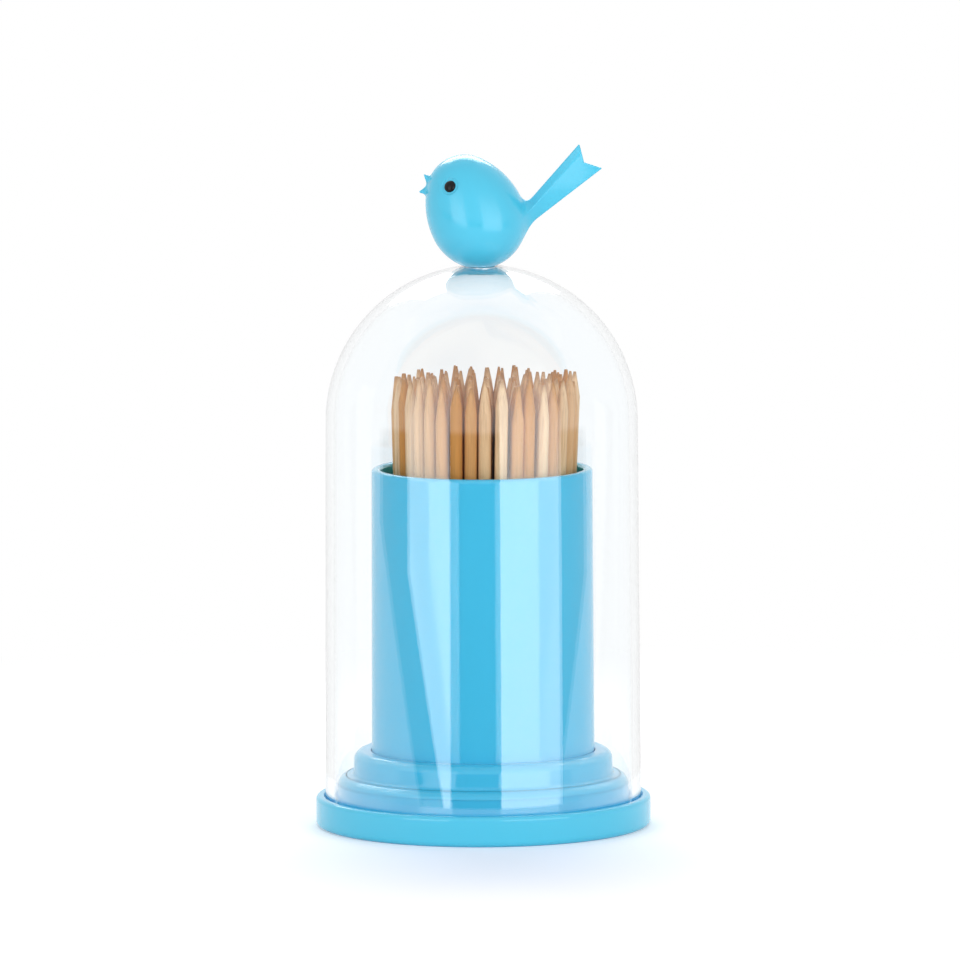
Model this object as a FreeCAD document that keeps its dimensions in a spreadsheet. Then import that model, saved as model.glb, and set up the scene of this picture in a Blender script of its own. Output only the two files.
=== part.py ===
# Toothpick dispenser, millimetres, +Z up, origin at the centre of the face it stands on.
#
# A moulded base with a low two-step plinth carries a plain cup of wooden toothpicks.  A clear
# bell dome stands in a shallow groove of the base flange and is lifted straight off by a knob
# shaped as a small bird, whose peg is cemented in a bore through the crown of the dome.
# The bird looks towards -X, its tail points up towards +X, and it is symmetric about Y = 0.
import FreeCAD, Part
import math
import os
import Sketcher

# ---------------------------------------------------------------- driving dimensions
# name, value (mm or degrees), what it is
DRIVING = [
    ("land_width", 1.4, "flat land of the flange outside the dome's groove"),
    ("flange_height", 5.2, "top of the flange land above the table"),
    ("flange_top_round", 0.7, "round of the flange's upper outer edge"),
    ("flange_foot_round", 0.9, "round of the flange's lower outer edge"),
    ("groove_depth", 0.8, "depth of the dome's groove below the land"),
    ("lower_step_rise", 3.8, "lower step, above the land"),
    ("upper_step_rise", 4.2, "upper step, above the lower step"),
    ("plinth_ring", 3.1, "upper step, from the cup's well to its foot"),
    ("step_width", 2.8, "tread of the lower step"),
    ("step_draft", 0.2, "how much a step's side leans in, foot to top"),
    ("step_round", 1.5, "round of each step's upper edge"),
    ("step_cove", 0.5, "hollow at the foot of the upper step"),
    ("base_wall", 2.0, "wall of the base moulding"),
    ("web_thickness", 1.8, "floor of the cup's well"),
    ("rib_thickness", 1.4, "stiffening ribs under the base"),
    ("rib_count", 6, "number of ribs"),
    ("rib_lift", 1.2, "gap between the ribs and the table"),
    ("hub_radius", 4.0, "hub where the ribs meet"),
    ("cup_radius", 19.3, "outer radius of the cup at its foot"),
    ("cup_rise", 48.9, "cup rim above the plinth"),
    ("cup_draft", 0.22, "lean of the cup's wall, degrees"),
    ("cup_wall", 1.65, "wall of the cup at the rim"),
    ("cup_floor", 1.9, "floor of the cup"),
    ("cup_rim_round", 0.6, "round of the rim's two edges"),
    ("cup_foot_round", 0.8, "round inside the cup, wall to floor"),
    ("well_depth", 1.5, "how deep the cup plugs into the plinth"),
    ("well_clearance", 0.1, "radial clearance of the cup in its well"),
    ("shoulder_below_tips", 8.5, "where the dome starts to close, below the toothpicks' tips"),
    ("dome_draft", 0.35, "lean of the dome's wall, degrees"),
    ("dome_wall", 1.5, "wall of the dome"),
    ("dome_lip_clearance", 0.25, "radial gap, dome rim to flange land"),
    ("dome_step_clearance", 0.55, "radial gap, dome rim to lower step"),
    ("dome_rim_round", 0.3, "round of the dome rim's edges"),
    ("crown_flat_depth", 0.25, "spot face on the crown, where the bird sits"),
    ("peg_radius", 2.2, "bird's peg in the crown"),
    ("peg_clearance", 0.05, "radial clearance of the peg in its bore"),
    ("bird_centre_ahead", 0.57, "body's middle, ahead of the dome's axis"),
    ("bird_foot_flat", 0.38, "depth of the flat on which the bird sits"),
    ("bird_tilt", 26.3, "lean of the body's long axis towards the beak, degrees"),
    ("bird_girth_radius", 8.35, "body's radius across its long axis"),
    ("bird_head_length", 11.53, "body's middle to the top of the head"),
    ("bird_belly_length", 8.74, "body's middle to the belly"),
    ("bird_oval_angle", 40.0, "where a flank arc meets a nose arc, degrees from the girth plane"),
    ("bird_wall", 1.6, "wall of the two shells"),
    ("tongue_width", 0.75, "locating tongue along the parting line"),
    ("tongue_height", 0.6, "how far the tongue reaches across"),
    ("tongue_clearance", 0.05, "clearance of the tongue in its rebate"),
    ("tail_angle", 16.7, "slope of the tail above the body's girth plane, degrees"),
    ("tail_root_inset", 0.06, "tail root inside the body's girth"),
    ("tail_root_drop", 3.25, "tail root below the girth plane"),
    ("tail_length", 14.45, "tail root to its two points"),
    ("tail_anchor", 3.5, "how far the tail reaches into the body"),
    ("tail_root_width", 3.0, "width of the tail at its root"),
    ("tail_tip_width", 5.8, "width of the tail at its points"),
    ("tail_root_thickness", 3.2, "thickness at the ridge, at the root"),
    ("tail_tip_thickness", 1.5, "thickness at the ridge, at the points"),
    ("tail_edge_thickness", 0.7, "thickness along both edges"),
    ("tail_bevel_width", 1.15, "ridge below the tail's upper edge"),
    ("tail_notch_depth", 1.45, "depth of the V between the two points"),
    ("tail_blend", 0.85, "hollow where the tail leaves the body"),
    ("bill_upper_proud", 1.27, "upper point of the open bill, out from the head"),
    ("bill_upper_bearing", 50.9, "its bearing from the head's middle, above the girth plane"),
    ("bill_upper_radius", 1.05, "root radius of the upper bill"),
    ("bill_upper_angle", 71.3, "slope of the upper bill above the girth plane, degrees"),
    ("bill_lower_proud", 1.44, "lower point of the open bill, out from the head"),
    ("bill_lower_bearing", 26.8, "its bearing from the head's middle, above the girth plane"),
    ("bill_lower_radius", 1.1, "root radius of the lower bill"),
    ("bill_lower_angle", 15.8, "slope of the lower bill above the girth plane, degrees"),
    ("bill_length", 2.2, "root to point of each half of the bill"),
    ("bill_point_radius", 0.12, "rounding of the two points"),
    ("eye_radius", 1.05, "bead of the eye"),
    ("eye_proud", 0.35, "how far the bead's dome stands out"),
    ("eye_stem_radius", 0.6, "stem of the bead"),
    ("eye_stem_skin", 0.25, "wall left behind the stem's blind bore"),
    ("eye_stem_clearance", 0.03, "radial clearance of the stem"),
    ("eye_dish_radius", 1.5, "shallow dish round the eye"),
    ("eye_dish_depth", 0.25, "depth of the dish"),
    ("eye_ahead", 1.73, "eye ahead of the body's long axis"),
    ("eye_rise", 7.17, "eye above the girth plane"),
    ("pick_length", 65.0, "toothpick"),
    ("pick_diameter", 2.15, "shaft of a toothpick"),
    ("pick_point_length", 4.6, "tapered point at each end"),
    ("pick_point_diameter", 0.5, "blunt end of a point"),
    ("pick_gap", 0.05, "gap between toothpicks at the cup's floor"),
    ("pick_side_gap", 0.5, "least gap between the sheaf and the cup's rim"),
    ("pick_spread", 1.24, "how much wider the bundle is at its top"),
    ("pick_lift", 0.15, "middle of a toothpick's lower end above the cup's floor"),
]

# ---------------------------------------------------------------- worked-out levels and radii
DERIVED = [
    ("well_radius", "cup_radius + well_clearance"),
    ("upper_step_radius", "well_radius + plinth_ring"),
    ("lower_step_radius", "upper_step_radius + step_width"),
    ("dome_radius", "lower_step_radius + dome_step_clearance + dome_wall"),
    ("lip_radius", "dome_radius + dome_lip_clearance"),
    ("base_radius", "lip_radius + land_width"),
    ("groove_floor", "flange_height - groove_depth"),
    ("lower_step_top", "flange_height + lower_step_rise"),
    ("plinth_top", "lower_step_top + upper_step_rise"),
    ("well_floor", "plinth_top - well_depth"),
    ("hollow_radius", "base_radius - base_wall"),
    ("hollow_lower_radius", "lower_step_radius - step_draft - base_wall"),
    ("hollow_upper_radius", "upper_step_radius - step_draft - base_wall"),
    ("web_underside", "well_floor - web_thickness"),
    ("cup_rim", "plinth_top + cup_rise"),
    ("cup_inside_floor", "well_floor + cup_floor"),
    ("cup_rim_radius", "cup_radius - (cup_rise + well_depth) * tan(cup_draft)"),
    ("cup_bore_radius", "cup_rim_radius - cup_wall"),
    ("cup_bore_foot_radius", "cup_bore_radius - (cup_rim - cup_inside_floor) * tan(cup_draft)"),
    ("pick_foot", "cup_inside_floor + pick_lift"),
    ("pick_pitch", "pick_diameter + pick_gap"),
    ("rim_spread", "1 + (pick_spread - 1) * (cup_rim - pick_foot) / pick_length"),
    ("dome_shoulder", "pick_foot + pick_length - shoulder_below_tips"),
    ("dome_wall_rise", "dome_shoulder - groove_floor"),
    ("dome_shoulder_radius", "dome_radius - dome_wall_rise * tan(dome_draft)"),
    ("crown", "dome_shoulder + dome_shoulder_radius - crown_flat_depth"),
    ("crown_flat_radius", "sqrt(2 * dome_shoulder_radius * crown_flat_depth)"),
    ("peg_length", "dome_wall - crown_flat_depth"),
    ("oval_share", "cos(bird_oval_angle) + sin(bird_oval_angle) - 1"),
    ("girth_share", "bird_girth_radius * sin(bird_oval_angle) / oval_share"),
    ("head_nose", "girth_share - bird_head_length * (1 - cos(bird_oval_angle)) / oval_share"),
    ("belly_nose", "girth_share - bird_belly_length * (1 - cos(bird_oval_angle)) / oval_share"),
    ("girth_rest", "bird_girth_radius * (1 - sin(bird_oval_angle)) / oval_share"),
    ("head_flank", "bird_head_length * cos(bird_oval_angle) / oval_share - girth_rest"),
    ("belly_flank", "bird_belly_length * cos(bird_oval_angle) / oval_share - girth_rest"),
    ("belly_depth", "(bird_belly_length - belly_nose) * cos(bird_tilt) + belly_nose"),
    ("bird_level", "crown + belly_depth - bird_foot_flat"),
    ("tail_slope", "tail_angle + bird_tilt"),
    ("tail_root_across", "bird_girth_radius - tail_root_inset"),
    ("tail_root_behind", "tail_root_across * cos(bird_tilt) + tail_root_drop * sin(bird_tilt)"),
    ("tail_root_rise", "tail_root_across * sin(bird_tilt) - tail_root_drop * cos(bird_tilt)"),
    ("eye_stem_length", "bird_wall - eye_dish_depth - eye_stem_skin"),
]


def add_sheet(name, rows, formula=False):
    """A spreadsheet of aliased cells: plain numbers, or formulas over the driving sheet."""
    sheet = doc.addObject("Spreadsheet::Sheet", name)
    for line, row in enumerate(rows, start=1):
        sheet.set(f"A{line}", row[0])
        sheet.setAlias(f"B{line}", row[0])
        sheet.set(f"B{line}", "=" + refer(row[1]) if formula else str(row[1]))
        if not formula:
            sheet.set(f"C{line}", row[2])
    doc.recompute()
    return sheet


def refer(formula):
    """Put the sheet's name before every dimension named in a formula."""
    driving = {row[0] for row in DRIVING}
    derived = {row[0] for row in DERIVED}
    words, word = [], ""
    for letter in str(formula) + " ":
        if letter.isalnum() or letter in "_.":
            word += letter
            continue
        sheet = "Sizes." if word in driving else "Levels." if word in derived else ""
        words.append(sheet + word + letter)
        word = ""
    return "".join(words).strip()


def size(name):
    """The present value of a driving or worked-out dimension."""
    sheet = sizes if any(row[0] == name for row in DRIVING) else levels
    return float(sheet.get(name))


def bind(feature, **formulas):
    """Bind properties of a feature to formulas over the sheets; __ stands for a dot."""
    for prop, formula in formulas.items():
        feature.setExpression(prop.replace("__", "."), refer(formula))
    return feature


# ---------------------------------------------------------------- sketches and body features
def origin_plane(body, role):
    return next(plane for plane in body.Origin.OriginFeatures if plane.Role == role)


def corner_sketch(body, name, role, corners):
    """A closed outline of straight edges whose corners are bound to pairs of formulas."""
    sketch = body.newObject("Sketcher::SketchObject", name)
    sketch.AttachmentSupport = [(origin_plane(body, role), "")]
    sketch.MapMode = "FlatFace"
    count = len(corners)
    turns = [2 * math.pi * index / count for index in range(count)]
    start = [FreeCAD.Vector(20 * math.cos(turn), 20 * math.sin(turn), 0) for turn in turns]
    for index in range(count):
        sketch.addGeometry(Part.LineSegment(start[index], start[(index + 1) % count]), False)
    for index in range(count):
        sketch.addConstraint(Sketcher.Constraint("Coincident", index, 2, (index + 1) % count, 1))
    for index, (across, up) in enumerate(corners):
        for kind, formula, axis in (("DistanceX", across, -2), ("DistanceY", up, -1)):
            if formula == "0":
                sketch.addConstraint(Sketcher.Constraint("PointOnObject", index, 1, axis))
            else:
                rule = Sketcher.Constraint(kind, -1, 1, index, 1, 1.0)
                line = sketch.addConstraint(rule)
                sketch.setExpression(f"Constraints[{line}]", refer(formula))
    return sketch


def turned(body, name, corners, cut=False):
    """Revolve an outline given as (radius, level) pairs once about the Z axis."""
    sketch = corner_sketch(body, name + "Outline", "XZ_Plane", corners)
    kind = "PartDesign::Groove" if cut else "PartDesign::Revolution"
    feature = body.newObject(kind, name)
    feature.Profile = sketch
    feature.ReferenceAxis = (sketch, ["V_Axis"])
    feature.Angle = 360.0
    sketch.Visibility = False
    doc.recompute()
    return feature


def ring_edges(shape, level, radius):
    """Names of the circular edges round Z at a level and radius."""
    names = []
    for number, edge in enumerate(shape.Edges, start=1):
        curve = edge.Curve
        if isinstance(curve, Part.Circle):
            if abs(curve.Center.z - level) < 1e-4 and abs(curve.Radius - radius) < 1e-4:
                names.append(f"Edge{number}")
    return names


def rounded(body, name, base, level, radius, round_size):
    """Fillet the ring edge of a turned body at a level and radius."""
    edges = ring_edges(base.Shape, level, radius)
    if not edges:
        raise RuntimeError(f"{name}: no ring edge at level {level} and radius {radius}")
    feature = body.newObject("PartDesign::Fillet", name)
    feature.Base = (base, edges)
    bind(feature, Radius=round_size)
    doc.recompute()
    return feature


def new_body(label):
    body = doc.addObject("PartDesign::Body", label)
    body.Label = label
    return body


# ---------------------------------------------------------------- base, cup and dome
def make_base():
    """Flange with the dome's groove, two rounded steps, the cup's well, hollow and ribbed below."""
    body = new_body("base")
    form = turned(body, "BaseForm", [
        ("0", "0"),
        ("base_radius", "0"),
        ("base_radius", "flange_height"),
        ("lip_radius", "flange_height"),
        ("lip_radius", "groove_floor"),
        ("lower_step_radius", "groove_floor"),
        ("lower_step_radius - step_draft", "lower_step_top"),
        ("upper_step_radius", "lower_step_top"),
        ("upper_step_radius - step_draft", "plinth_top"),
        ("well_radius", "plinth_top"),
        ("well_radius", "well_floor"),
        ("0", "well_floor"),
    ])
    flange, land = size("base_radius"), size("flange_height")
    lower, lower_top = size("lower_step_radius"), size("lower_step_top")
    upper, upper_top = size("upper_step_radius"), size("plinth_top")
    draft = size("step_draft")
    form = rounded(body, "FlangeTopRound", form, land, flange, "flange_top_round")
    form = rounded(body, "FlangeFootRound", form, 0.0, flange, "flange_foot_round")
    form = rounded(body, "LowerStepRound", form, lower_top, lower - draft, "step_round")
    form = rounded(body, "UpperStepRound", form, upper_top, upper - draft, "step_round")
    form = rounded(body, "UpperStepCove", form, lower_top, upper, "step_cove")

    hollow = [
        ("hollow_radius", "groove_floor - base_wall"),
        ("hollow_lower_radius", "groove_floor - base_wall"),
        ("hollow_lower_radius", "lower_step_top - base_wall"),
        ("hollow_upper_radius", "lower_step_top - base_wall"),
        ("hollow_upper_radius", "web_underside"),
        ("0", "web_underside"),
    ]
    turned(body, "Underside", [("0", "0"), ("hollow_radius", "0")] + hollow, cut=True)

    rib_outline = [("0", "rib_lift"), ("hollow_radius", "rib_lift")] + hollow
    rib_sketch = corner_sketch(body, "RibOutline", "XZ_Plane", rib_outline)
    rib = body.newObject("PartDesign::Pad", "Rib")
    rib.Profile = rib_sketch
    rib.SideType = "Symmetric"
    bind(rib, Length="rib_thickness")
    doc.recompute()
    ribs = body.newObject("PartDesign::PolarPattern", "Ribs")
    ribs.Originals = [rib]
    ribs.Axis = (rib_sketch, ["V_Axis"])
    ribs.Angle = 360.0
    bind(ribs, Occurrences="rib_count")
    body.Tip = ribs
    doc.recompute()

    turned(body, "RibHub", [
        ("0", "rib_lift"),
        ("hub_radius", "rib_lift"),
        ("hub_radius", "web_underside"),
        ("0", "web_underside"),
    ])
    return body


def make_cup():
    """Straight cup with a slight draft; its foot stands in the well of the plinth."""
    body = new_body("cup")
    form = turned(body, "CupForm", [
        ("0", "well_floor"),
        ("cup_radius", "well_floor"),
        ("cup_rim_radius", "cup_rim"),
        ("cup_bore_radius", "cup_rim"),
        ("cup_bore_foot_radius", "cup_inside_floor"),
        ("0", "cup_inside_floor"),
    ])
    rim, outer, bore = size("cup_rim"), size("cup_rim_radius"), size("cup_bore_radius")
    form = rounded(body, "RimOuterRound", form, rim, outer, "cup_rim_round")
    form = rounded(body, "RimInnerRound", form, rim, bore, "cup_rim_round")
    floor, foot = size("cup_inside_floor"), size("cup_bore_foot_radius")
    rounded(body, "FloorRound", form, floor, foot, "cup_foot_round")
    return body


def bell(body, kind, name, inset):
    """Add or take away a bell form: a drafted wall from the groove up, and a half ball on it."""
    wall = body.newObject(f"PartDesign::{kind}Cone", name + "Wall")
    bind(wall, Radius1=f"dome_radius - {inset}", Radius2=f"dome_shoulder_radius - {inset}",
         Height="dome_wall_rise", Placement__Base__z="groove_floor")
    ball = body.newObject(f"PartDesign::{kind}Sphere", name + "Crown")
    ball.Angle1 = 0.0
    bind(ball, Radius=f"dome_shoulder_radius - {inset}", Placement__Base__z="dome_shoulder")


def make_dome():
    """Clear bell of even wall, with a spot face and a bore in its crown for the bird."""
    body = new_body("dome")
    bell(body, "Additive", "Bell", "0")
    bell(body, "Subtractive", "Inside", "dome_wall")
    spot = body.newObject("PartDesign::SubtractiveCylinder", "CrownSpotFace")
    bind(spot, Radius="2 * crown_flat_radius", Height="2 * crown_flat_depth",
         Placement__Base__z="crown")
    bore = body.newObject("PartDesign::SubtractiveCylinder", "PegBore")
    bind(bore, Radius="peg_radius + peg_clearance", Height="4 * dome_wall",
         Placement__Base__z="crown - 3 * dome_wall")
    doc.recompute()
    foot = size("groove_floor")
    form = rounded(body, "RimOuterEdge", bore, foot, size("dome_radius"), "dome_rim_round")
    inside = size("dome_radius") - size("dome_wall")
    rounded(body, "RimInnerEdge", form, foot, inside, "dome_rim_round")
    return body


# ---------------------------------------------------------------- bird knob
SEAM_TURN = 40.0    # degrees from the parting plane to the seam of a round form


def part_object(kind, name, **formulas):
    """A Part workbench primitive with its sizes bound to the sheets."""
    return bind(doc.addObject("Part::" + kind, name), **formulas)


def merged(name, shapes):
    fusion = doc.addObject("Part::MultiFuse", name)
    fusion.Shapes = shapes
    fusion.Refine = True
    return fusion


def cut_away(name, base, tool):
    result = doc.addObject("Part::Cut", name)
    result.Base, result.Tool = base, tool
    return result


def common_of(name, base, tool):
    result = doc.addObject("Part::Common", name)
    result.Base, result.Tool = base, tool
    return result


def arc_about(across, up, radius, first, last):
    circle = Part.Circle(FreeCAD.Vector(across, up, 0), FreeCAD.Vector(0, 0, 1), radius)
    return Part.ArcOfCircle(circle, math.radians(first), math.radians(last))


def oval_sketch(body, name, inset):
    """Half outline of the bird's body beside its long axis: the axis, then four tangent arcs.
    Nose arcs have their centre on the axis and flank arcs have theirs in the girth plane, so
    an outline drawn in by an inset keeps all four centres."""
    sketch = body.newObject("Sketcher::SketchObject", name)
    sketch.AttachmentSupport = [(origin_plane(body, "XZ_Plane"), "")]
    sketch.MapMode = "FlatFace"
    girth, turn = size("bird_girth_radius"), size("bird_oval_angle")
    head, head_nose, head_flank = size("bird_head_length"), size("head_nose"), size("head_flank")
    belly, belly_nose = size("bird_belly_length"), size("belly_nose")
    belly_flank = size("belly_flank")
    sketch.addGeometry([
        Part.LineSegment(FreeCAD.Vector(0, head, 0), FreeCAD.Vector(0, -belly, 0)),
        arc_about(0, belly_nose - belly, belly_nose, -90, -turn),
        arc_about(girth - belly_flank, 0, belly_flank, -turn, 0),
        arc_about(girth - head_flank, 0, head_flank, 0, turn),
        arc_about(0, head - head_nose, head_nose, turn, 90),
    ], False)
    axis, low_nose, low_flank, high_flank, high_nose = range(5)
    first, last, centre, level_line, upright_line = 1, 2, 3, -1, -2
    rule = Sketcher.Constraint
    sketch.addConstraint([
        rule("Coincident", axis, last, low_nose, first),
        rule("Tangent", low_nose, last, low_flank, first),
        rule("Coincident", low_flank, last, high_flank, first),
        rule("Tangent", high_flank, last, high_nose, first),
        rule("Coincident", high_nose, last, axis, first),
        rule("PointOnObject", axis, first, upright_line),
        rule("PointOnObject", axis, last, upright_line),
        rule("PointOnObject", low_nose, centre, upright_line),
        rule("PointOnObject", high_nose, centre, upright_line),
        rule("PointOnObject", low_flank, centre, level_line),
        rule("PointOnObject", high_flank, centre, level_line),
        rule("PointOnObject", low_flank, last, level_line),
    ])
    measures = [
        (rule("DistanceY", -1, 1, axis, first, head), f"bird_head_length - ({inset})"),
        (rule("DistanceY", -1, 1, axis, last, -belly), f"-(bird_belly_length - ({inset}))"),
        (rule("DistanceX", -1, 1, low_flank, last, girth), f"bird_girth_radius - ({inset})"),
        (rule("Radius", low_nose, belly_nose), f"belly_nose - ({inset})"),
        (rule("Radius", high_nose, head_nose), f"head_nose - ({inset})"),
    ]
    for constraint, formula in measures:
        line = sketch.addConstraint(constraint)
        sketch.setExpression(f"Constraints[{line}]", refer(formula))
    return sketch


def egg(name, inset):
    """The body's oval, drawn in by an inset, turned once about its leaning long axis."""
    body = new_body(name)
    sketch = oval_sketch(body, name + "Outline", inset)
    form = body.newObject("PartDesign::Revolution", name + "Form")
    form.Profile = sketch
    form.ReferenceAxis = (sketch, ["V_Axis"])
    form.Angle = 360.0
    body.Placement.Rotation = (FreeCAD.Rotation(FreeCAD.Vector(0, -1, 0), size("bird_tilt"))
                               * FreeCAD.Rotation(FreeCAD.Vector(0, 0, 1), SEAM_TURN))
    bind(body, Placement__Base__x="-bird_centre_ahead", Placement__Base__z="bird_level")
    return body


def make_tail():
    """Forked tail: two lofted six-sided sections with a ridge nearer the upper edge, then the V."""
    body = new_body("BirdTail")
    sections = []
    for name, along in (("TailRoot", "-tail_anchor"), ("TailTip", "tail_length")):
        share = f"(({along}) / tail_length)"
        half = f"((tail_root_width + (tail_tip_width - tail_root_width) * {share}) / 2)"
        thick = f"(tail_root_thickness + (tail_tip_thickness - tail_root_thickness) * {share})"
        ridge = f"{half} - tail_bevel_width"
        edge = "tail_edge_thickness / 2"
        sketch = corner_sketch(body, name, "YZ_Plane", [
            (edge, half), (f"{thick} / 2", ridge), (edge, f"-{half}"),
            (f"-{edge}", f"-{half}"), (f"-{thick} / 2", ridge), (f"-{edge}", half),
        ])
        sketch.AttachmentOffset = FreeCAD.Placement(
            FreeCAD.Vector(), FreeCAD.Rotation(FreeCAD.Vector(-1, 0, 0), size("tail_slope")))
        rise = f"bird_level + tail_root_rise + ({along}) * sin(tail_slope)"
        reach = f"tail_root_behind - bird_centre_ahead + ({along}) * cos(tail_slope)"
        bind(sketch, AttachmentOffset__Base__y=rise, AttachmentOffset__Base__z=reach)
        sections.append(sketch)
    blade = body.newObject("PartDesign::AdditiveLoft", "TailBlade")
    blade.Profile = sections[0]
    blade.Sections = [sections[1]]
    blade.Ruled = True
    doc.recompute()

    tip_x = "tail_root_behind - bird_centre_ahead + {0} * cos(tail_slope) - ({1}) * sin(tail_slope)"
    tip_z = "bird_level + tail_root_rise + {0} * sin(tail_slope) + ({1}) * cos(tail_slope)"
    corners = [("(tail_length - tail_notch_depth)", "0"),
               ("(tail_length + 1)", "-tail_tip_width / 2"),
               ("(tail_length + 1)", "tail_tip_width / 2")]
    outline = corner_sketch(body, "TailNotch", "XZ_Plane",
                            [(tip_x.format(a, b), tip_z.format(a, b)) for a, b in corners])
    notch = body.newObject("PartDesign::Pocket", "TailFork")
    notch.Profile = outline
    notch.Type = "ThroughAll"
    notch.SideType = "Symmetric"
    doc.recompute()
    return body


def make_bill(name):
    """One half of the open bill: a blunt cone that ends at its point."""
    cone = part_object("Cone", name, Radius1=f"{name}_radius", Radius2="bill_point_radius",
                       Height="bill_length")
    lean = math.radians(size("bird_tilt"))
    bearing = math.radians(size(f"{name}_bearing")) - lean
    neck = size("bird_head_length") - size("head_nose")
    reach = size("head_nose") + size(f"{name}_proud")
    ahead = size("bird_centre_ahead") + neck * math.sin(lean) + reach * math.cos(bearing)
    rise = size("bird_level") + neck * math.cos(lean) + reach * math.sin(bearing)
    slope = size(f"{name}_angle") - size("bird_tilt")
    turn = FreeCAD.Rotation(FreeCAD.Vector(0, -1, 0), 90 - slope)
    root = (FreeCAD.Vector(-ahead, 0, rise)
            - turn.multVec(FreeCAD.Vector(0, 0, size("bill_length"))))
    cone.Placement = FreeCAD.Placement(root, turn)
    return cone


def eye_seat(side):
    """Where an eye sits on the head, its own Z axis along the surface normal."""
    lean, turn = math.radians(size("bird_tilt")), math.radians(size("bird_oval_angle"))
    across, along = -size("eye_ahead"), size("eye_rise")
    if along < size("head_flank") * math.sin(turn):
        radius, centre_along = size("head_flank"), 0.0
        centre_out = size("bird_girth_radius") - radius
    else:
        radius, centre_out = size("head_nose"), 0.0
        centre_along = size("bird_head_length") - radius
    from_arc = math.sqrt(radius ** 2 - (along - centre_along) ** 2)
    from_axis = centre_out + from_arc
    out = side * math.sqrt(from_axis ** 2 - across ** 2)
    slope_across, slope_along = from_arc * across / from_axis, along - centre_along
    side_axis = FreeCAD.Vector(math.cos(lean), 0, math.sin(lean))
    long_axis = FreeCAD.Vector(-math.sin(lean), 0, math.cos(lean))
    sideways = FreeCAD.Vector(0, 1, 0)
    middle = FreeCAD.Vector(-size("bird_centre_ahead"), 0, size("bird_level"))
    point = middle + side_axis * across + long_axis * along + sideways * out
    normal = (side_axis * slope_across + long_axis * slope_along
              + sideways * (from_arc * out / from_axis))
    return FreeCAD.Placement(point, FreeCAD.Rotation(FreeCAD.Vector(0, 0, 1), normal))


def make_eye(label, seat):
    """Black bead: a low dome on the floor of its dish, with a stem pressed into the shell."""
    head = part_object("Ellipsoid", label + "_head", Radius1="eye_proud + eye_dish_depth",
                       Radius2="eye_radius", Radius3="eye_radius",
                       Placement__Base__z="-eye_dish_depth")
    head.Angle1, head.Angle2, head.Angle3 = 0, 90, 360
    stem = part_object("Cylinder", label + "_stem", Radius="eye_stem_radius",
                       Height="eye_stem_length",
                       Placement__Base__z="-eye_dish_depth - eye_stem_length")
    bead = merged(label, [head, stem])
    bead.Placement = seat
    return bead


def eye_cutter(name, seat):
    """The dish and the stem's blind bore, as one cutter."""
    dish = part_object("Cylinder", name + "Dish", Radius="eye_dish_radius",
                       Height="2 * eye_dish_depth", Placement__Base__z="-eye_dish_depth")
    bore = part_object("Cylinder", name + "Bore", Radius="eye_stem_radius + eye_stem_clearance",
                       Height="eye_stem_length + 2 * eye_stem_clearance",
                       Placement__Base__z="-eye_dish_depth - eye_stem_length - eye_stem_clearance")
    cutter = merged(name, [dish, bore])
    cutter.Placement = seat
    return cutter


def half_space(name, side, thickness, floor):
    """A block on one side of the parting plane, from a floor level up over the whole bird."""
    block = part_object("Box", name, Length="5 * bird_head_length", Width=thickness,
                        Height="3 * bird_head_length", Placement__Base__x="-2 * bird_head_length",
                        Placement__Base__z=floor)
    if side < 0:
        bind(block, Placement__Base__y=f"-({thickness})")
    return block


def tail_root_edges(fused, body, tail):
    """Numbers of the edges along which the tail meets the body."""
    crossing = body.Shape.section(tail.Shape)
    numbers = []
    for number, edge in enumerate(fused.Shape.Edges, start=1):
        middle = edge.valueAt((edge.FirstParameter + edge.LastParameter) / 2)
        if crossing.distToShape(Part.Vertex(middle))[0] < 1e-3:
            numbers.append(number)
    return numbers


def make_bird():
    """Two hollow shells that meet at the middle plane, with a tongue, a rebate and half a peg."""
    form, tail = egg("BirdForm", "0"), make_tail()
    joined = merged("BirdForms", [form, tail, make_bill("bill_upper"), make_bill("bill_lower")])
    doc.recompute()
    outside = doc.addObject("Part::Fillet", "BirdOutside")
    outside.Base = joined
    blend = size("tail_blend")
    outside.Edges = [(number, blend, blend) for number in tail_root_edges(joined, form, tail)]

    seats = {"left": eye_seat(-1), "right": eye_seat(1)}
    cutters = [egg("BirdHollow", "bird_wall")]
    cutters += [eye_cutter(f"Eye{side.title()}Seat", seat) for side, seat in seats.items()]
    shell = cut_away("BirdShell", outside, merged("BirdCutters", cutters))

    reach = "2 * bird_head_length"
    halves = {}
    for side, sign in (("Left", -1), ("Right", 1)):
        block = half_space(f"{side}Half", sign, reach, "crown")
        half = common_of(f"Bird{side}Half", shell, block)
        peg = part_object("Cylinder", f"Peg{side}", Radius="peg_radius",
                          Height="peg_length + bird_wall",
                          Placement__Base__z="crown - peg_length")
        peg.Angle = 180
        peg.Placement.Rotation = FreeCAD.Rotation(FreeCAD.Vector(0, 0, 1), 0 if sign > 0 else 180)
        halves[side] = merged(f"Bird{side}Pegged", [half, peg])

    rebate_block = half_space("RebateBlock", -1, "tongue_height + tongue_clearance", "crown")
    rebate_form = egg("RebateForm", "bird_wall - tongue_width - tongue_clearance")
    rebate = common_of("Rebate", rebate_form, rebate_block)
    left = cut_away("bird_left_shell", halves["Left"], rebate)

    tongue_block = half_space("TongueBlock", -1, "tongue_height", "crown")
    tongue_form = cut_away("TongueForm", egg("TongueOutside", "bird_wall - tongue_width"),
                           egg("TongueInside", "bird_wall"))
    tongue = common_of("Tongue", tongue_form, tongue_block)
    right = merged("bird_right_shell", [halves["Right"], tongue])
    eyes = [make_eye(f"bird_eye_{side}", seat) for side, seat in seats.items()]
    doc.recompute()
    return [left, right] + eyes


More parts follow.
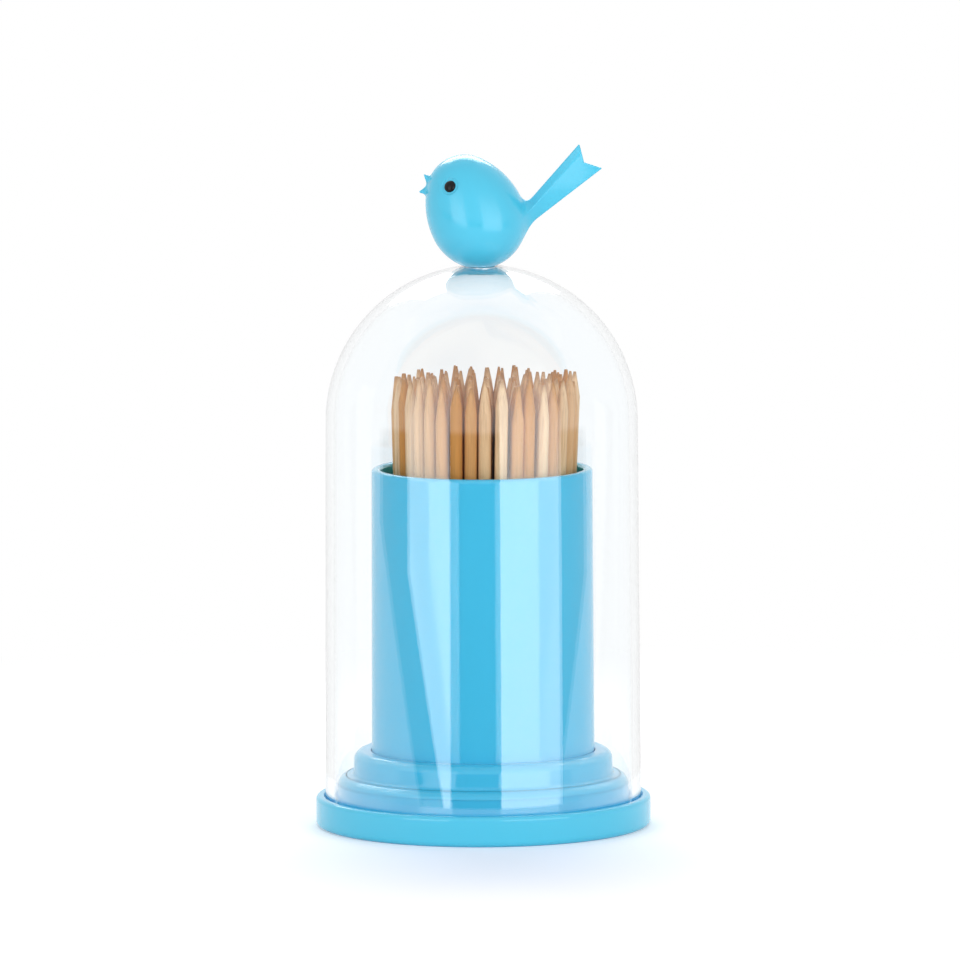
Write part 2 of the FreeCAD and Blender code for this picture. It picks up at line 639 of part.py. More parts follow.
# ---------------------------------------------------------------- toothpicks
def make_pick_form():
    """One toothpick, standing on the origin: a round shaft with a long point at each end."""
    body = new_body("ToothpickForm")
    turned(body, "PickShaft", [
        ("0", "0"),
        ("pick_point_diameter / 2", "0"),
        ("pick_diameter / 2", "pick_point_length"),
        ("pick_diameter / 2", "pick_length - pick_point_length"),
        ("pick_point_diameter / 2", "pick_length"),
        ("0", "pick_length"),
    ])
    return body


def make_toothpicks():
    """A sheaf of separate toothpicks in rings, each ring leaning out a little more."""
    pick = make_pick_form().Shape
    pitch, length, spread = size("pick_pitch"), size("pick_length"), size("pick_spread")
    room = size("cup_bore_radius") - size("pick_side_gap") - size("pick_diameter") / 2
    rings = int(room / (pitch * size("rim_spread")))
    copies = []
    for ring in range(rings + 1):
        radius = ring * pitch
        lean = math.degrees(math.asin(radius * (spread - 1) / length))
        count = max(1, 6 * ring)
        for place in range(count):
            bearing = 360 * (place + ring % 2 / 2) / count
            upright = FreeCAD.Placement(FreeCAD.Vector(radius, 0, size("pick_foot")),
                                        FreeCAD.Rotation(FreeCAD.Vector(0, 1, 0), lean))
            around = FreeCAD.Placement(FreeCAD.Vector(),
                                       FreeCAD.Rotation(FreeCAD.Vector(0, 0, 1), bearing))
            copies.append(pick.copy())
            copies[-1].Placement = around * upright
    sheaf = doc.addObject("Part::Feature", "toothpicks")
    sheaf.Shape = Part.makeCompound(copies)
    return sheaf


# ---------------------------------------------------------------- build, check and write
doc = FreeCAD.newDocument("ToothpickDispenser")
sizes = add_sheet("Sizes", DRIVING)
levels = add_sheet("Levels", DERIVED, formula=True)

pieces = [make_base(), make_cup(), make_dome()] + make_bird() + [make_toothpicks()]
doc.recompute()

for item in doc.Objects:
    if "Invalid" in item.State or "Error" in item.State:
        raise RuntimeError(f"{item.Name} did not build: {item.State}")
for piece in pieces:
    if piece.Shape.isNull() or not piece.Shape.isValid() or not piece.Shape.Solids:
        raise RuntimeError(f"{piece.Label} has no valid solid")

os.makedirs("parts", exist_ok=True)
for piece in pieces:
    piece.Shape.exportStep(f"parts/{piece.Label}.step")
    print(f"{piece.Label}: {len(piece.Shape.Solids)} solid(s), {piece.Shape.Volume:.1f} mm3")
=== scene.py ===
# %% [markdown]
# # A toothpick dispenser under a clear dome
#
# The real object is a small piece of tableware, moulded in glossy plastic. A stepped base
# carries a cup of wooden toothpicks, and a clear bell dome stands over it, lifted off by a knob
# shaped as a small bird. An engineering model of it already exists: it fixes every size, and
# it says what moves. Here we load that model as a fixed frame and give each piece the surface
# and the finish that the eye expects.

# %% Load the measured frame
import math

import bmesh
import bpy
import numpy as np
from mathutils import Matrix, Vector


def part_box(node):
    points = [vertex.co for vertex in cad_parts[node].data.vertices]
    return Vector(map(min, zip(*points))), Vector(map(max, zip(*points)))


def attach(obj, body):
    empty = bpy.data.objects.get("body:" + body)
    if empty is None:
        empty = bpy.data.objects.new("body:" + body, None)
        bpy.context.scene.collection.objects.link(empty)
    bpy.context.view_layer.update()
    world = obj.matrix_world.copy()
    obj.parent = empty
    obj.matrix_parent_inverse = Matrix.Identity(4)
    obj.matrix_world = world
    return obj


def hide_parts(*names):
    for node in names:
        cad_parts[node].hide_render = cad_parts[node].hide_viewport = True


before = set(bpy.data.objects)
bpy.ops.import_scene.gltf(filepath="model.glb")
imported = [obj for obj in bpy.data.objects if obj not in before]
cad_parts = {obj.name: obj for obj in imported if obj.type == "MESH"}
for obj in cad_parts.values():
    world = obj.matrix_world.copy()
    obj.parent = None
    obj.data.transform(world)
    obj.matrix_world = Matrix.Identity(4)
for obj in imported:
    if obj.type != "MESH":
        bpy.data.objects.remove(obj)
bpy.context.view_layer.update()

# %% [markdown]
# ## Levels and radii
#
# A modeller who types every size twice will get one of them wrong. So whatever the frame's boxes
# show is read from them, and only what no box shows, such as a wall or a round, gets a number
# here. All lengths are in millimetres until a mesh is written.

# %% Read the sizes
MM = 0.001
X, Y, Z = 0, 1, 2


def lowest(node, axis):
    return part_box(node)[0][axis] / MM


def highest(node, axis):
    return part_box(node)[1][axis] / MM


BASE_RADIUS, PLINTH_TOP = highest("base", X), highest("base", Z)
CUP_RADIUS, CUP_RIM, WELL_FLOOR = highest("cup", X), highest("cup", Z), lowest("cup", Z)
DOME_RADIUS, CROWN, GROOVE_FLOOR = highest("dome", X), highest("dome", Z), lowest("dome", Z)
PEG_END = lowest("bird_left_shell", Z)

GROOVE_DEPTH, UPPER_STEP_HEIGHT = 0.8, 4.2
FLANGE_TOP = GROOVE_FLOOR + GROOVE_DEPTH
LOWER_STEP_TOP = PLINTH_TOP - UPPER_STEP_HEIGHT
STEP_DRAFT, STEP_ROUND, STEP_COVE, STEP_WIDTH = 0.2, 1.5, 0.5, 2.8
WELL_CLEARANCE = 0.1
BASE_WALL, WEB_THICKNESS = 2.0, 1.8
RIB_THICKNESS, RIB_COUNT, RIB_LIFT, HUB_RADIUS = 1.4, 6, 1.2, 4.0
CUP_WALL, CUP_FLOOR, CUP_DRAFT = 1.65, 1.9, math.radians(0.22)
DOME_WALL, DOME_DRAFT = 1.5, math.radians(0.35)
DOME_LIP_CLEARANCE, DOME_STEP_CLEARANCE = 0.25, 0.55
SPOT_FACE_DEPTH = 0.25
PEG_RADIUS, PEG_CLEARANCE = 2.2, 0.05

LIP_RADIUS = DOME_RADIUS + DOME_LIP_CLEARANCE
LOWER_STEP_RADIUS = DOME_RADIUS - DOME_WALL - DOME_STEP_CLEARANCE
UPPER_STEP_RADIUS = LOWER_STEP_RADIUS - STEP_WIDTH
print(f"base {2 * BASE_RADIUS:.1f} mm across, crown at {CROWN:.1f} mm, cup rim at {CUP_RIM:.1f} mm")

# %% [markdown]
# ## From numbers to a mesh
#
# Every surface below but the bird's is a grid: a table of points with rows and columns. Neighbours
# in the table are joined by four-sided faces, so one helper can build the faces for all of them.
# Where a row shrinks to one point, as at a pole, the merge afterwards closes it. Two more helpers
# write the finished piece, with its place in the mesh and its object left at the origin.

# %% Grid, join and write
SAME_POINT = 2e-8  # in metres: points no further apart than this are one


def grid_faces(rows, columns, wrap_rows=False, wrap_columns=False):
    """Corner numbers of the faces between neighbouring rows and columns of a grid."""
    row = np.arange(rows if wrap_rows else rows - 1)
    column = np.arange(columns if wrap_columns else columns - 1)
    row, column = (part.ravel() for part in np.meshgrid(row, column, indexing="ij"))
    next_row, next_column = (row + 1) % rows, (column + 1) % columns
    corners = (row * columns + column, next_row * columns + column,
               next_row * columns + next_column, row * columns + next_column)
    return np.stack(corners, axis=1)


def show_mesh(mesh, material):
    """Put a mesh into the scene as an object of the same name, at the origin, with its material."""
    mesh.materials.append(material)
    piece = bpy.data.objects.new(mesh.name, mesh)
    bpy.context.scene.collection.objects.link(piece)
    return piece


def write_piece(name, parts, material, sharp_angle=35.0):
    """A mesh object from (points, faces) parts in millimetres. Each part is closed by itself: its
    poles are merged, its open ends filled and its faces turned outwards."""
    whole = bmesh.new()
    for points, faces in parts:
        draft, part = bpy.data.meshes.new("draft"), bmesh.new()
        draft.from_pydata((points * MM).tolist(), [], faces.tolist())
        part.from_mesh(draft)
        bmesh.ops.remove_doubles(part, verts=part.verts, dist=SAME_POINT)
        bmesh.ops.dissolve_degenerate(part, edges=part.edges, dist=SAME_POINT)
        open_ends = [edge for edge in part.edges if edge.is_boundary]
        bmesh.ops.holes_fill(part, edges=open_ends, sides=0)
        bmesh.ops.recalc_face_normals(part, faces=part.faces)
        part.to_mesh(draft)
        part.free()
        whole.from_mesh(draft)
        bpy.data.meshes.remove(draft)
    open_edges = sum(1 for edge in whole.edges if not edge.is_manifold)
    mesh = bpy.data.meshes.new(name)
    whole.to_mesh(mesh)
    whole.free()
    mesh.shade_smooth()
    mesh.set_sharp_from_angle(angle=math.radians(sharp_angle))
    print(f"{name}: {len(mesh.vertices)} points, {len(mesh.polygons)} faces,",
          f"{open_edges} open edges")
    return show_mesh(mesh, material)


# %% [markdown]
# ## Colours and nodes
#
# Colours are written as the hex values a designer would use, and one function turns them to the
# linear numbers that a shader works with. A second small function adds any node, so a material
# reads as a list of what it is made of. A Mix node has sockets for numbers, for vectors and for
# colours, all under the same names, so those for colours go by their numbers here.

# %% Colour and node helpers
SHARE, FIRST, SECOND, BLEND = 0, 6, 7, 2


def linear(hex_colour):
    """An sRGB hex colour as linear red, green, blue and an alpha of 1."""
    channels = np.array([int(hex_colour[at:at + 2], 16) for at in (1, 3, 5)]) / 255
    low, high = channels / 12.92, ((channels + 0.055) / 1.055) ** 2.4
    return (*np.where(channels <= 0.04045, low, high).tolist(), 1.0)


def add_node(tree, kind, inputs=None, **settings):
    """Add one node, set its properties, then fill its sockets with values or with links."""
    made = tree.nodes.new("ShaderNode" + kind)
    for name, value in settings.items():
        setattr(made, name, value)
    for socket, value in (inputs or {}).items():
        if isinstance(value, bpy.types.NodeSocket):
            tree.links.new(value, made.inputs[socket])
        else:
            made.inputs[socket].default_value = value
    return made


def new_material(name):
    """An empty material, its node tree and its output node."""
    material = bpy.data.materials.new(name)
    material.use_nodes = True
    material.node_tree.nodes.clear()
    return material, material.node_tree, add_node(material.node_tree, "OutputMaterial")


def per_metre(millimetres):
    """The scale of a texture whose features repeat once in that many millimetres."""
    return 1 / (millimetres * MM)


# %% [markdown]
# ## Glossy blue ABS
#
# The base, the cup and the bird are injection moulded in ABS, a hard plastic that takes the polish
# of its steel mould. Its refractive index is about 1.54, so it mirrors between four and five per
# cent of what stands in front of it, with sharp edges. Three things keep it from looking like
# paint in a computer: the surface waves very slightly, as the melt shrinks (we call it orange
# peel), handling leaves faint differences in gloss, and the pigment is not perfectly even. The
# bird's mould is polished less than the others, so its highlights are wider and softer: only the
# roughness differs.

# %% Moulded blue ABS
ABS_BLUE, ABS_BLUE_PALE = "#49C9EC", "#50CCEE"
PIGMENT_DRIFT_MM, ORANGE_PEEL_MM, HANDLING_MM = 22.0, 4.5, 0.9
ORANGE_PEEL_HEIGHT_MM = 0.0006
POLISHED, SATIN = (0.05, 0.11), (0.16, 0.24)


def uneven_gloss(tree, place, size_mm, detail, levels, roughness):
    """A roughness that goes from its first value to its second while a noise, whose features have
    a real size, goes from one level to another."""
    noise = add_node(tree, "TexNoise", {"Vector": place, "Scale": per_metre(size_mm),
                                        "Detail": detail})
    gloss = add_node(tree, "MapRange", {"Value": noise.outputs["Fac"], "From Min": levels[0],
                                        "From Max": levels[1], "To Min": roughness[0],
                                        "To Max": roughness[1]})
    return gloss.outputs["Result"]


def moulded_abs(name, roughness):
    """Blue ABS whose roughness wanders between two values."""
    material, tree, output = new_material(name)
    place = add_node(tree, "TexCoord").outputs["Object"]
    drift = add_node(tree, "TexNoise", {"Vector": place, "Scale": per_metre(PIGMENT_DRIFT_MM),
                                        "Detail": 2.0})
    pigment = add_node(tree, "Mix", {SHARE: drift.outputs["Fac"], FIRST: linear(ABS_BLUE),
                                     SECOND: linear(ABS_BLUE_PALE)}, data_type="RGBA")
    gloss = uneven_gloss(tree, place, HANDLING_MM, detail=4.0, levels=(0.35, 0.75),
                         roughness=roughness)
    peel = add_node(tree, "TexNoise", {"Vector": place, "Scale": per_metre(ORANGE_PEEL_MM),
                                       "Detail": 1.0})
    wave = add_node(tree, "Bump", {"Height": peel.outputs["Fac"], "Strength": 0.5,
                                   "Distance": ORANGE_PEEL_HEIGHT_MM * MM})
    plastic = add_node(tree, "BsdfPrincipled", {
        "Base Color": pigment.outputs[BLEND], "Roughness": gloss, "IOR": 1.54,
        "Normal": wave.outputs["Normal"]})
    tree.links.new(plastic.outputs["BSDF"], output.inputs["Surface"])
    return material


blue_abs = moulded_abs("moulded_blue_abs", POLISHED)
bird_abs = moulded_abs("satin_blue_abs", SATIN)

# %% [markdown]
# ## Turned forms
#
# The base, the cup and the dome are round: a moulder thinks of them as one outline turned about
# the upright axis. An outline is a short list of corners, each with the radius of its round. The
# rounds matter more than anything else here, because a glossy edge shows itself only by the thin
# highlight that runs along its round.

# %% Rounded outlines and turning
ARC_STEPS, TURN_STEPS, SUPPORT = 8, 288, 0.35


def rounded(corners):
    """An outline of straight runs with every corner (radius, level, round) replaced by an arc.

    The arc touches both runs at round / tan(half the corner's angle) from the corner, and its
    centre lies on the corner's bisector at round / sin(half the angle). Support points close
    behind each arc keep the shading of the long runs flat."""
    place = np.array([corner[:2] for corner in corners], float)
    outline = [place[:1]]
    for before, here, after, corner in zip(place[:-2], place[1:-1], place[2:], corners[1:-1]):
        back, ahead = before - here, after - here
        room = min(np.linalg.norm(back), np.linalg.norm(ahead))
        back, ahead = back / np.linalg.norm(back), ahead / np.linalg.norm(ahead)
        half = math.acos(float(np.clip(back @ ahead, -1, 1))) / 2
        touch = corner[2] / math.tan(half)
        if corner[2] == 0:
            outline.append(here[None])
            continue
        centre = here + (back + ahead) / np.linalg.norm(back + ahead) * corner[2] / math.sin(half)
        first, last = here + back * touch - centre, here + ahead * touch - centre
        start, turn = math.atan2(first[1], first[0]), math.atan2(last[1], last[0])
        turn = (turn - start + math.pi) % (2 * math.pi) - math.pi
        angle = start + turn * np.linspace(0, 1, ARC_STEPS + 1)
        arc = centre + corner[2] * np.stack([np.cos(angle), np.sin(angle)], axis=1)
        support = min(touch + SUPPORT, room / 2)
        outline += [here[None] + back * support, arc, here[None] + ahead * support]
    return np.vstack(outline + [place[-1:]])


def turned(outline, ring=False, steps=TURN_STEPS):
    """Turn an outline about Z: a point at (radius, level) goes to radius times the cosine and the
    sine of the turn, at its own level. The outline of a ring closes on itself."""
    turn = np.arange(steps) * 2 * math.pi / steps
    radius, level = outline[:, :1], outline[:, 1:]
    points = np.stack([radius * np.cos(turn), radius * np.sin(turn), level + 0 * turn], axis=2)
    return points.reshape(-1, 3), grid_faces(len(outline), steps, ring, True)


# %% [markdown]
# ## The base
#
# The base is one moulding: a flange, a groove in which the dome stands, two rounded steps, and
# a shallow well for the foot of the cup. Underneath it is hollow, as every moulding of this size
# is, because a thick lump of plastic would sink in as it cools. Ribs make up for the stiffness.

# %% Base, with its hollow and ribs
WELL_RADIUS = CUP_RADIUS + WELL_CLEARANCE
HOLLOW_RADIUS = BASE_RADIUS - BASE_WALL
HOLLOW_LOWER = LOWER_STEP_RADIUS - STEP_DRAFT - BASE_WALL
HOLLOW_UPPER = UPPER_STEP_RADIUS - STEP_DRAFT - BASE_WALL
WEB_UNDERSIDE = WELL_FLOOR - WEB_THICKNESS
SOFT_EDGE, FLANGE_TOP_ROUND, FLANGE_FOOT_ROUND, HOLLOW_ROUND = 0.12, 0.7, 0.9, 0.4
RIB_BITE, HUB_ROUND = 0.3, 0.3

base_outline = rounded([
    (0, WELL_FLOOR, 0),
    (WELL_RADIUS, WELL_FLOOR, 0),
    (WELL_RADIUS, PLINTH_TOP, SOFT_EDGE),
    (UPPER_STEP_RADIUS - STEP_DRAFT, PLINTH_TOP, STEP_ROUND),
    (UPPER_STEP_RADIUS, LOWER_STEP_TOP, STEP_COVE),
    (LOWER_STEP_RADIUS - STEP_DRAFT, LOWER_STEP_TOP, STEP_ROUND),
    (LOWER_STEP_RADIUS, GROOVE_FLOOR, SOFT_EDGE),
    (LIP_RADIUS, GROOVE_FLOOR, SOFT_EDGE),
    (LIP_RADIUS, FLANGE_TOP, SOFT_EDGE),
    (BASE_RADIUS, FLANGE_TOP, FLANGE_TOP_ROUND),
    (BASE_RADIUS, 0, FLANGE_FOOT_ROUND),
    (HOLLOW_RADIUS, 0, SOFT_EDGE),
    (HOLLOW_RADIUS, GROOVE_FLOOR - BASE_WALL, HOLLOW_ROUND),
    (HOLLOW_LOWER, GROOVE_FLOOR - BASE_WALL, SOFT_EDGE),
    (HOLLOW_LOWER, LOWER_STEP_TOP - BASE_WALL, HOLLOW_ROUND),
    (HOLLOW_UPPER, LOWER_STEP_TOP - BASE_WALL, SOFT_EDGE),
    (HOLLOW_UPPER, WEB_UNDERSIDE, HOLLOW_ROUND),
    (0, WEB_UNDERSIDE, 0),
])


def rib_pair(turn):
    """A plate across the hollow: its outline, sunk a little into the walls, is given half the
    rib's thickness on each side of the middle plane, and then turned about Z."""
    right = np.array([(HOLLOW_RADIUS + RIB_BITE, RIB_LIFT),
                      (HOLLOW_RADIUS + RIB_BITE, GROOVE_FLOOR - BASE_WALL + RIB_BITE),
                      (HOLLOW_LOWER + RIB_BITE, GROOVE_FLOOR - BASE_WALL + RIB_BITE),
                      (HOLLOW_LOWER + RIB_BITE, LOWER_STEP_TOP - BASE_WALL + RIB_BITE),
                      (HOLLOW_UPPER + RIB_BITE, LOWER_STEP_TOP - BASE_WALL + RIB_BITE),
                      (HOLLOW_UPPER + RIB_BITE, WEB_UNDERSIDE + RIB_BITE)])
    left = right[::-1] * [-1, 1]
    edge = np.vstack([right, left])
    half = RIB_THICKNESS / 2
    slab = np.array([np.column_stack([edge[:, 0], np.full(len(edge), across), edge[:, 1]])
                     for across in (-half, half)])
    spin = np.array([[math.cos(turn), math.sin(turn), 0], [-math.sin(turn), math.cos(turn), 0],
                     [0, 0, 1]])
    return slab.reshape(-1, 3) @ spin, grid_faces(2, len(edge), wrap_columns=True)


hub = turned(rounded([(0, RIB_LIFT, 0), (HUB_RADIUS, RIB_LIFT, HUB_ROUND),
                      (HUB_RADIUS, WEB_UNDERSIDE + RIB_BITE, 0),
                      (0, WEB_UNDERSIDE + RIB_BITE, 0)]))
ribs = [rib_pair(math.pi * number / (RIB_COUNT // 2)) for number in range(RIB_COUNT // 2)]
base = write_piece("base_moulding", [turned(base_outline), hub], blue_abs)
base_ribs = write_piece("base_ribs", ribs, blue_abs)

# %% [markdown]
# ## The cup
#
# A straight cup with a slight lean, so that it comes off its core. Its foot plugs into the well of
# the base, which leaves a hair of shadow all round it, and its rim is rounded on both edges.

# %% Cup
CUP_INSIDE_FLOOR = WELL_FLOOR + CUP_FLOOR
CUP_RIM_RADIUS = CUP_RADIUS - (CUP_RIM - WELL_FLOOR) * math.tan(CUP_DRAFT)
CUP_BORE_RADIUS = CUP_RIM_RADIUS - CUP_WALL
CUP_BORE_FOOT = CUP_BORE_RADIUS - (CUP_RIM - CUP_INSIDE_FLOOR) * math.tan(CUP_DRAFT)
CUP_RIM_ROUND, CUP_FLOOR_ROUND = 0.6, 0.8

cup_outline = rounded([
    (0, WELL_FLOOR, 0),
    (CUP_RADIUS, WELL_FLOOR, SOFT_EDGE),
    (CUP_RIM_RADIUS, CUP_RIM, CUP_RIM_ROUND),
    (CUP_BORE_RADIUS, CUP_RIM, CUP_RIM_ROUND),
    (CUP_BORE_FOOT, CUP_INSIDE_FLOOR, CUP_FLOOR_ROUND),
    (0, CUP_INSIDE_FLOOR, 0),
])
cup = write_piece("cup_moulding", [turned(cup_outline)], blue_abs)

# %% [markdown]
# ## The clear dome
#
# The dome is moulded in clear SAN, a styrene plastic that is stiff, bright and a little denser to
# light than glass: its index is about 1.57. A wall of glass needs two faces, an outer and an inner
# one, or light bends once and never back. Where the wall is seen along its length, at the sides,
# the light passes through much more plastic, and the faint tint of the resin shows there.

# %% Dome outline
CROWN_LEVEL = CROWN + SPOT_FACE_DEPTH
SHOULDER = ((CROWN_LEVEL - DOME_RADIUS - GROOVE_FLOOR * math.tan(DOME_DRAFT))
            / (1 - math.tan(DOME_DRAFT)))
SHOULDER_RADIUS = CROWN_LEVEL - SHOULDER
SPOT_RADIUS = math.sqrt(2 * SHOULDER_RADIUS * SPOT_FACE_DEPTH)
BORE_RADIUS = PEG_RADIUS + PEG_CLEARANCE
CROWN_STEPS, DOME_RIM_ROUND = 96, 0.3


def crown_arc(radius, reach):
    """A quarter circle about the shoulder's middle, from the level of the shoulder up to where
    its distance from the axis is reach."""
    angle = np.linspace(0, math.acos(reach / radius), CROWN_STEPS)
    return np.stack([radius * np.cos(angle), SHOULDER + radius * np.sin(angle)], axis=1)


inner_radius = SHOULDER_RADIUS - DOME_WALL
rim = rounded([(inner_radius, SHOULDER, 0),
               (DOME_RADIUS - DOME_WALL, GROOVE_FLOOR, DOME_RIM_ROUND),
               (DOME_RADIUS, GROOVE_FLOOR, DOME_RIM_ROUND), (SHOULDER_RADIUS, SHOULDER, 0)])
dome_outline = np.vstack([
    rim[:-1],
    crown_arc(SHOULDER_RADIUS, SPOT_RADIUS),
    [(BORE_RADIUS, CROWN)],
    crown_arc(inner_radius, BORE_RADIUS)[:0:-1],
])

# %% [markdown]
# Light from lamps reaches the cup through the dome, but a path tracer finds lamps badly through
# glass: the rays that it sends to a lamp stop at the first surface. So for those rays, and for the
# light that one piece throws on another, the dome is plainly transparent, and for the camera and
# for reflections it is real, bending plastic.

# %% Clear SAN
SAN_CLEAR, SAN_PASSING = "#FCFEFF", "#FAFBFF"
FINE_SCRATCH_MM = 0.5


def clear_san():
    material, tree, output = new_material("clear_moulded_san")
    place = add_node(tree, "TexCoord").outputs["Object"]
    gloss = uneven_gloss(tree, place, FINE_SCRATCH_MM, detail=3.0, levels=(0.55, 0.8),
                         roughness=(0.0, 0.03))
    clear = add_node(tree, "BsdfPrincipled", {
        "Base Color": linear(SAN_CLEAR), "Roughness": gloss, "IOR": 1.57,
        "Transmission Weight": 1.0})
    open_air = add_node(tree, "BsdfTransparent", {"Color": linear(SAN_PASSING)})
    ray = add_node(tree, "LightPath").outputs
    passing = add_node(tree, "Math", {0: ray["Is Shadow Ray"], 1: ray["Is Diffuse Ray"]},
                       operation="MAXIMUM")
    wall = add_node(tree, "MixShader", {"Fac": passing.outputs["Value"], 1: clear.outputs["BSDF"],
                                        2: open_air.outputs["BSDF"]})
    tree.links.new(wall.outputs["Shader"], output.inputs["Surface"])
    return material


dome = write_piece("clear_dome", [turned(dome_outline, ring=True)], clear_san())

# %% [markdown]
# ## The bird, as a field
#
# A fork-tailed bird with a round body has no single outline to turn. But each of its forms is easy
# to describe by distance: how far a point lies outside the egg of the body, and how far outside
# the tapered bar of the tail. Such a function is called a field, and its zero is the surface. Two
# fields can be melted together with a smooth minimum, which also makes the hollow where the tail
# leaves the body, and a smooth maximum cuts with a softened edge.

# %% Where the bird stands
OVAL_TURN = math.radians(40.0)
GIRTH_RADIUS, HEAD_LENGTH, BELLY_LENGTH = 8.35, 11.53, 8.74
LEAN = math.radians(26.3)
FOOT_FLAT, BIRD_AHEAD = 0.38, 0.57
SHELL_WALL = 1.6

oval_share = math.cos(OVAL_TURN) + math.sin(OVAL_TURN) - 1


def nose_radius(length):
    """Radius of the arc at the end of the oval, from its length and the girth."""
    return (GIRTH_RADIUS * math.sin(OVAL_TURN) - length * (1 - math.cos(OVAL_TURN))) / oval_share


def flank_radius(length):
    """Radius of the arc beside the girth, from the oval's length and the girth."""
    return (length * math.cos(OVAL_TURN) - GIRTH_RADIUS * (1 - math.sin(OVAL_TURN))) / oval_share


belly_nose = nose_radius(BELLY_LENGTH)
belly_depth = (BELLY_LENGTH - belly_nose) * math.cos(LEAN) + belly_nose
MIDDLE = np.array([-BIRD_AHEAD, 0.0, CROWN + belly_depth - FOOT_FLAT])
LONG_AXIS = np.array([-math.sin(LEAN), 0.0, math.cos(LEAN)])
SIDE_AXIS = np.array([math.cos(LEAN), 0.0, math.sin(LEAN)])

TAIL_LIFT = math.radians(16.7)
TAIL_SLOPE = LEAN + TAIL_LIFT
TAIL_AXIS = np.array([math.cos(TAIL_SLOPE), 0.0, math.sin(TAIL_SLOPE)])
TAIL_UP = np.array([-math.sin(TAIL_SLOPE), 0.0, math.cos(TAIL_SLOPE)])
TAIL_INSET, TAIL_DROP = 0.06, 3.25
TAIL_ROOT = MIDDLE + (GIRTH_RADIUS - TAIL_INSET) * SIDE_AXIS - TAIL_DROP * LONG_AXIS
TAIL_LENGTH, TAIL_ANCHOR, NOTCH_DEPTH = 14.6, 3.5, 1.6
TAIL_ROOT_WIDTH, TAIL_TIP_WIDTH, BEVEL_WIDTH = 3.0, 5.8, 1.15
RIDGE_ROOT, RIDGE_TIP, TAIL_EDGE = 3.2, 1.5, 0.7
RIDGE_ROUND, TAIL_ROUND = 0.14, 0.2
print(f"bird: middle at {MIDDLE[Z]:.2f} mm, tail root at {np.round(TAIL_ROOT, 2)}")


# %% Smooth joins and the egg
def smooth_min(one, other, width):
    """The lesser of two fields, rounded over where they differ by less than width."""
    share = np.maximum(width - np.abs(one - other), 0) / width
    return np.minimum(one, other) - share ** 2 * width / 4


def smooth_max(one, other, width):
    return -smooth_min(-one, -other, width)


def egg_field(point):
    """Distance outside the body: in the plane of its long axis the outline is four tangent arcs,
    so the distance is measured from the centre of whichever arc faces the point."""
    offset = point - MIDDLE
    along = offset @ LONG_AXIS
    across = np.hypot(offset @ SIDE_AXIS, offset[..., Y])
    head = along > 0
    length = np.where(head, HEAD_LENGTH, BELLY_LENGTH)
    nose = np.where(head, nose_radius(HEAD_LENGTH), nose_radius(BELLY_LENGTH))
    flank = np.where(head, flank_radius(HEAD_LENGTH), flank_radius(BELLY_LENGTH))
    flank_out = across - (GIRTH_RADIUS - flank)
    far = np.abs(along)
    on_nose = np.arctan2(far, flank_out) > OVAL_TURN
    to_nose = np.hypot(across, far - (length - nose)) - nose
    return np.where(on_nose, to_nose, np.hypot(flank_out, far) - flank)


# %% The tail's field
def tail_section(along):
    """Half width, level of the ridge and half thickness at the ridge, some way along the tail."""
    share = along / TAIL_LENGTH
    half = (TAIL_ROOT_WIDTH + (TAIL_TIP_WIDTH - TAIL_ROOT_WIDTH) * share) / 2
    thick = (RIDGE_ROOT + (RIDGE_TIP - RIDGE_ROOT) * share) / 2
    return half, half - BEVEL_WIDTH, thick


def face_distance(thickness, width, first, second):
    """Distance outside the straight line from one corner of the tail's section to the next."""
    run_thick, run_width = second[0] - first[0], second[1] - first[1]
    length = np.hypot(run_thick, run_width)
    return ((width - first[1]) * run_thick - (thickness - first[0]) * run_width) / length


def tail_field(point):
    """Distance outside a six-sided tapered bar: the greatest distance from any of its faces, with
    the edges between the faces rounded."""
    offset = point - TAIL_ROOT
    along, width, thickness = offset @ TAIL_AXIS, offset @ TAIL_UP, np.abs(offset[..., Y])
    half, ridge, thick = tail_section(along)
    edge = TAIL_EDGE / 2
    upper = face_distance(thickness, width, (edge, half), (thick, ridge))
    lower = face_distance(thickness, width, (thick, ridge), (edge, -half))
    bar = smooth_max(upper, lower, RIDGE_ROUND)
    bar = smooth_max(bar, width - half, TAIL_ROUND)
    bar = smooth_max(bar, -width - half, TAIL_ROUND)
    bar = smooth_max(bar, -TAIL_ANCHOR - along, TAIL_ROUND)
    slant = 2 * NOTCH_DEPTH / TAIL_TIP_WIDTH
    fork = (along - (TAIL_LENGTH - NOTCH_DEPTH) - slant * np.abs(width)) / math.hypot(1, slant)
    return smooth_max(bar, fork, TAIL_ROUND)


# %% The bill's field
# Of each half of the bill: how far its point stands proud of the head, the bearing of the point
# and the slope of the half, both in degrees from the body's front up towards the top of its
# head, and the radius at its root.
BILLS = {"upper": (1.27, 50.9, 71.3, 1.05), "lower": (1.44, 26.8, 15.8, 1.1)}
BILL_LENGTH, POINT_RADIUS = 2.2, 0.12


def bill_field(point, proud, bearing, slope, root_radius):
    """Distance outside one half of the bill, a blunt cone: the distance from the nearest point of
    its axis, less a radius that shrinks evenly from the root to the point."""
    nose = nose_radius(HEAD_LENGTH)
    bearing, slope = math.radians(bearing) - LEAN, math.radians(slope) - LEAN
    way = np.array([-math.cos(slope), 0.0, math.sin(slope)])
    out = np.array([-math.cos(bearing), 0.0, math.sin(bearing)])
    tip = MIDDLE + (HEAD_LENGTH - nose) * LONG_AXIS + (nose + proud) * out
    offset = point - (tip - BILL_LENGTH * way)
    reach = BILL_LENGTH - POINT_RADIUS
    along = np.clip(offset @ way, 0, reach)
    beside = np.linalg.norm(offset - along[..., None] * way, axis=-1)
    return beside - root_radius - (POINT_RADIUS - root_radius) * along / reach


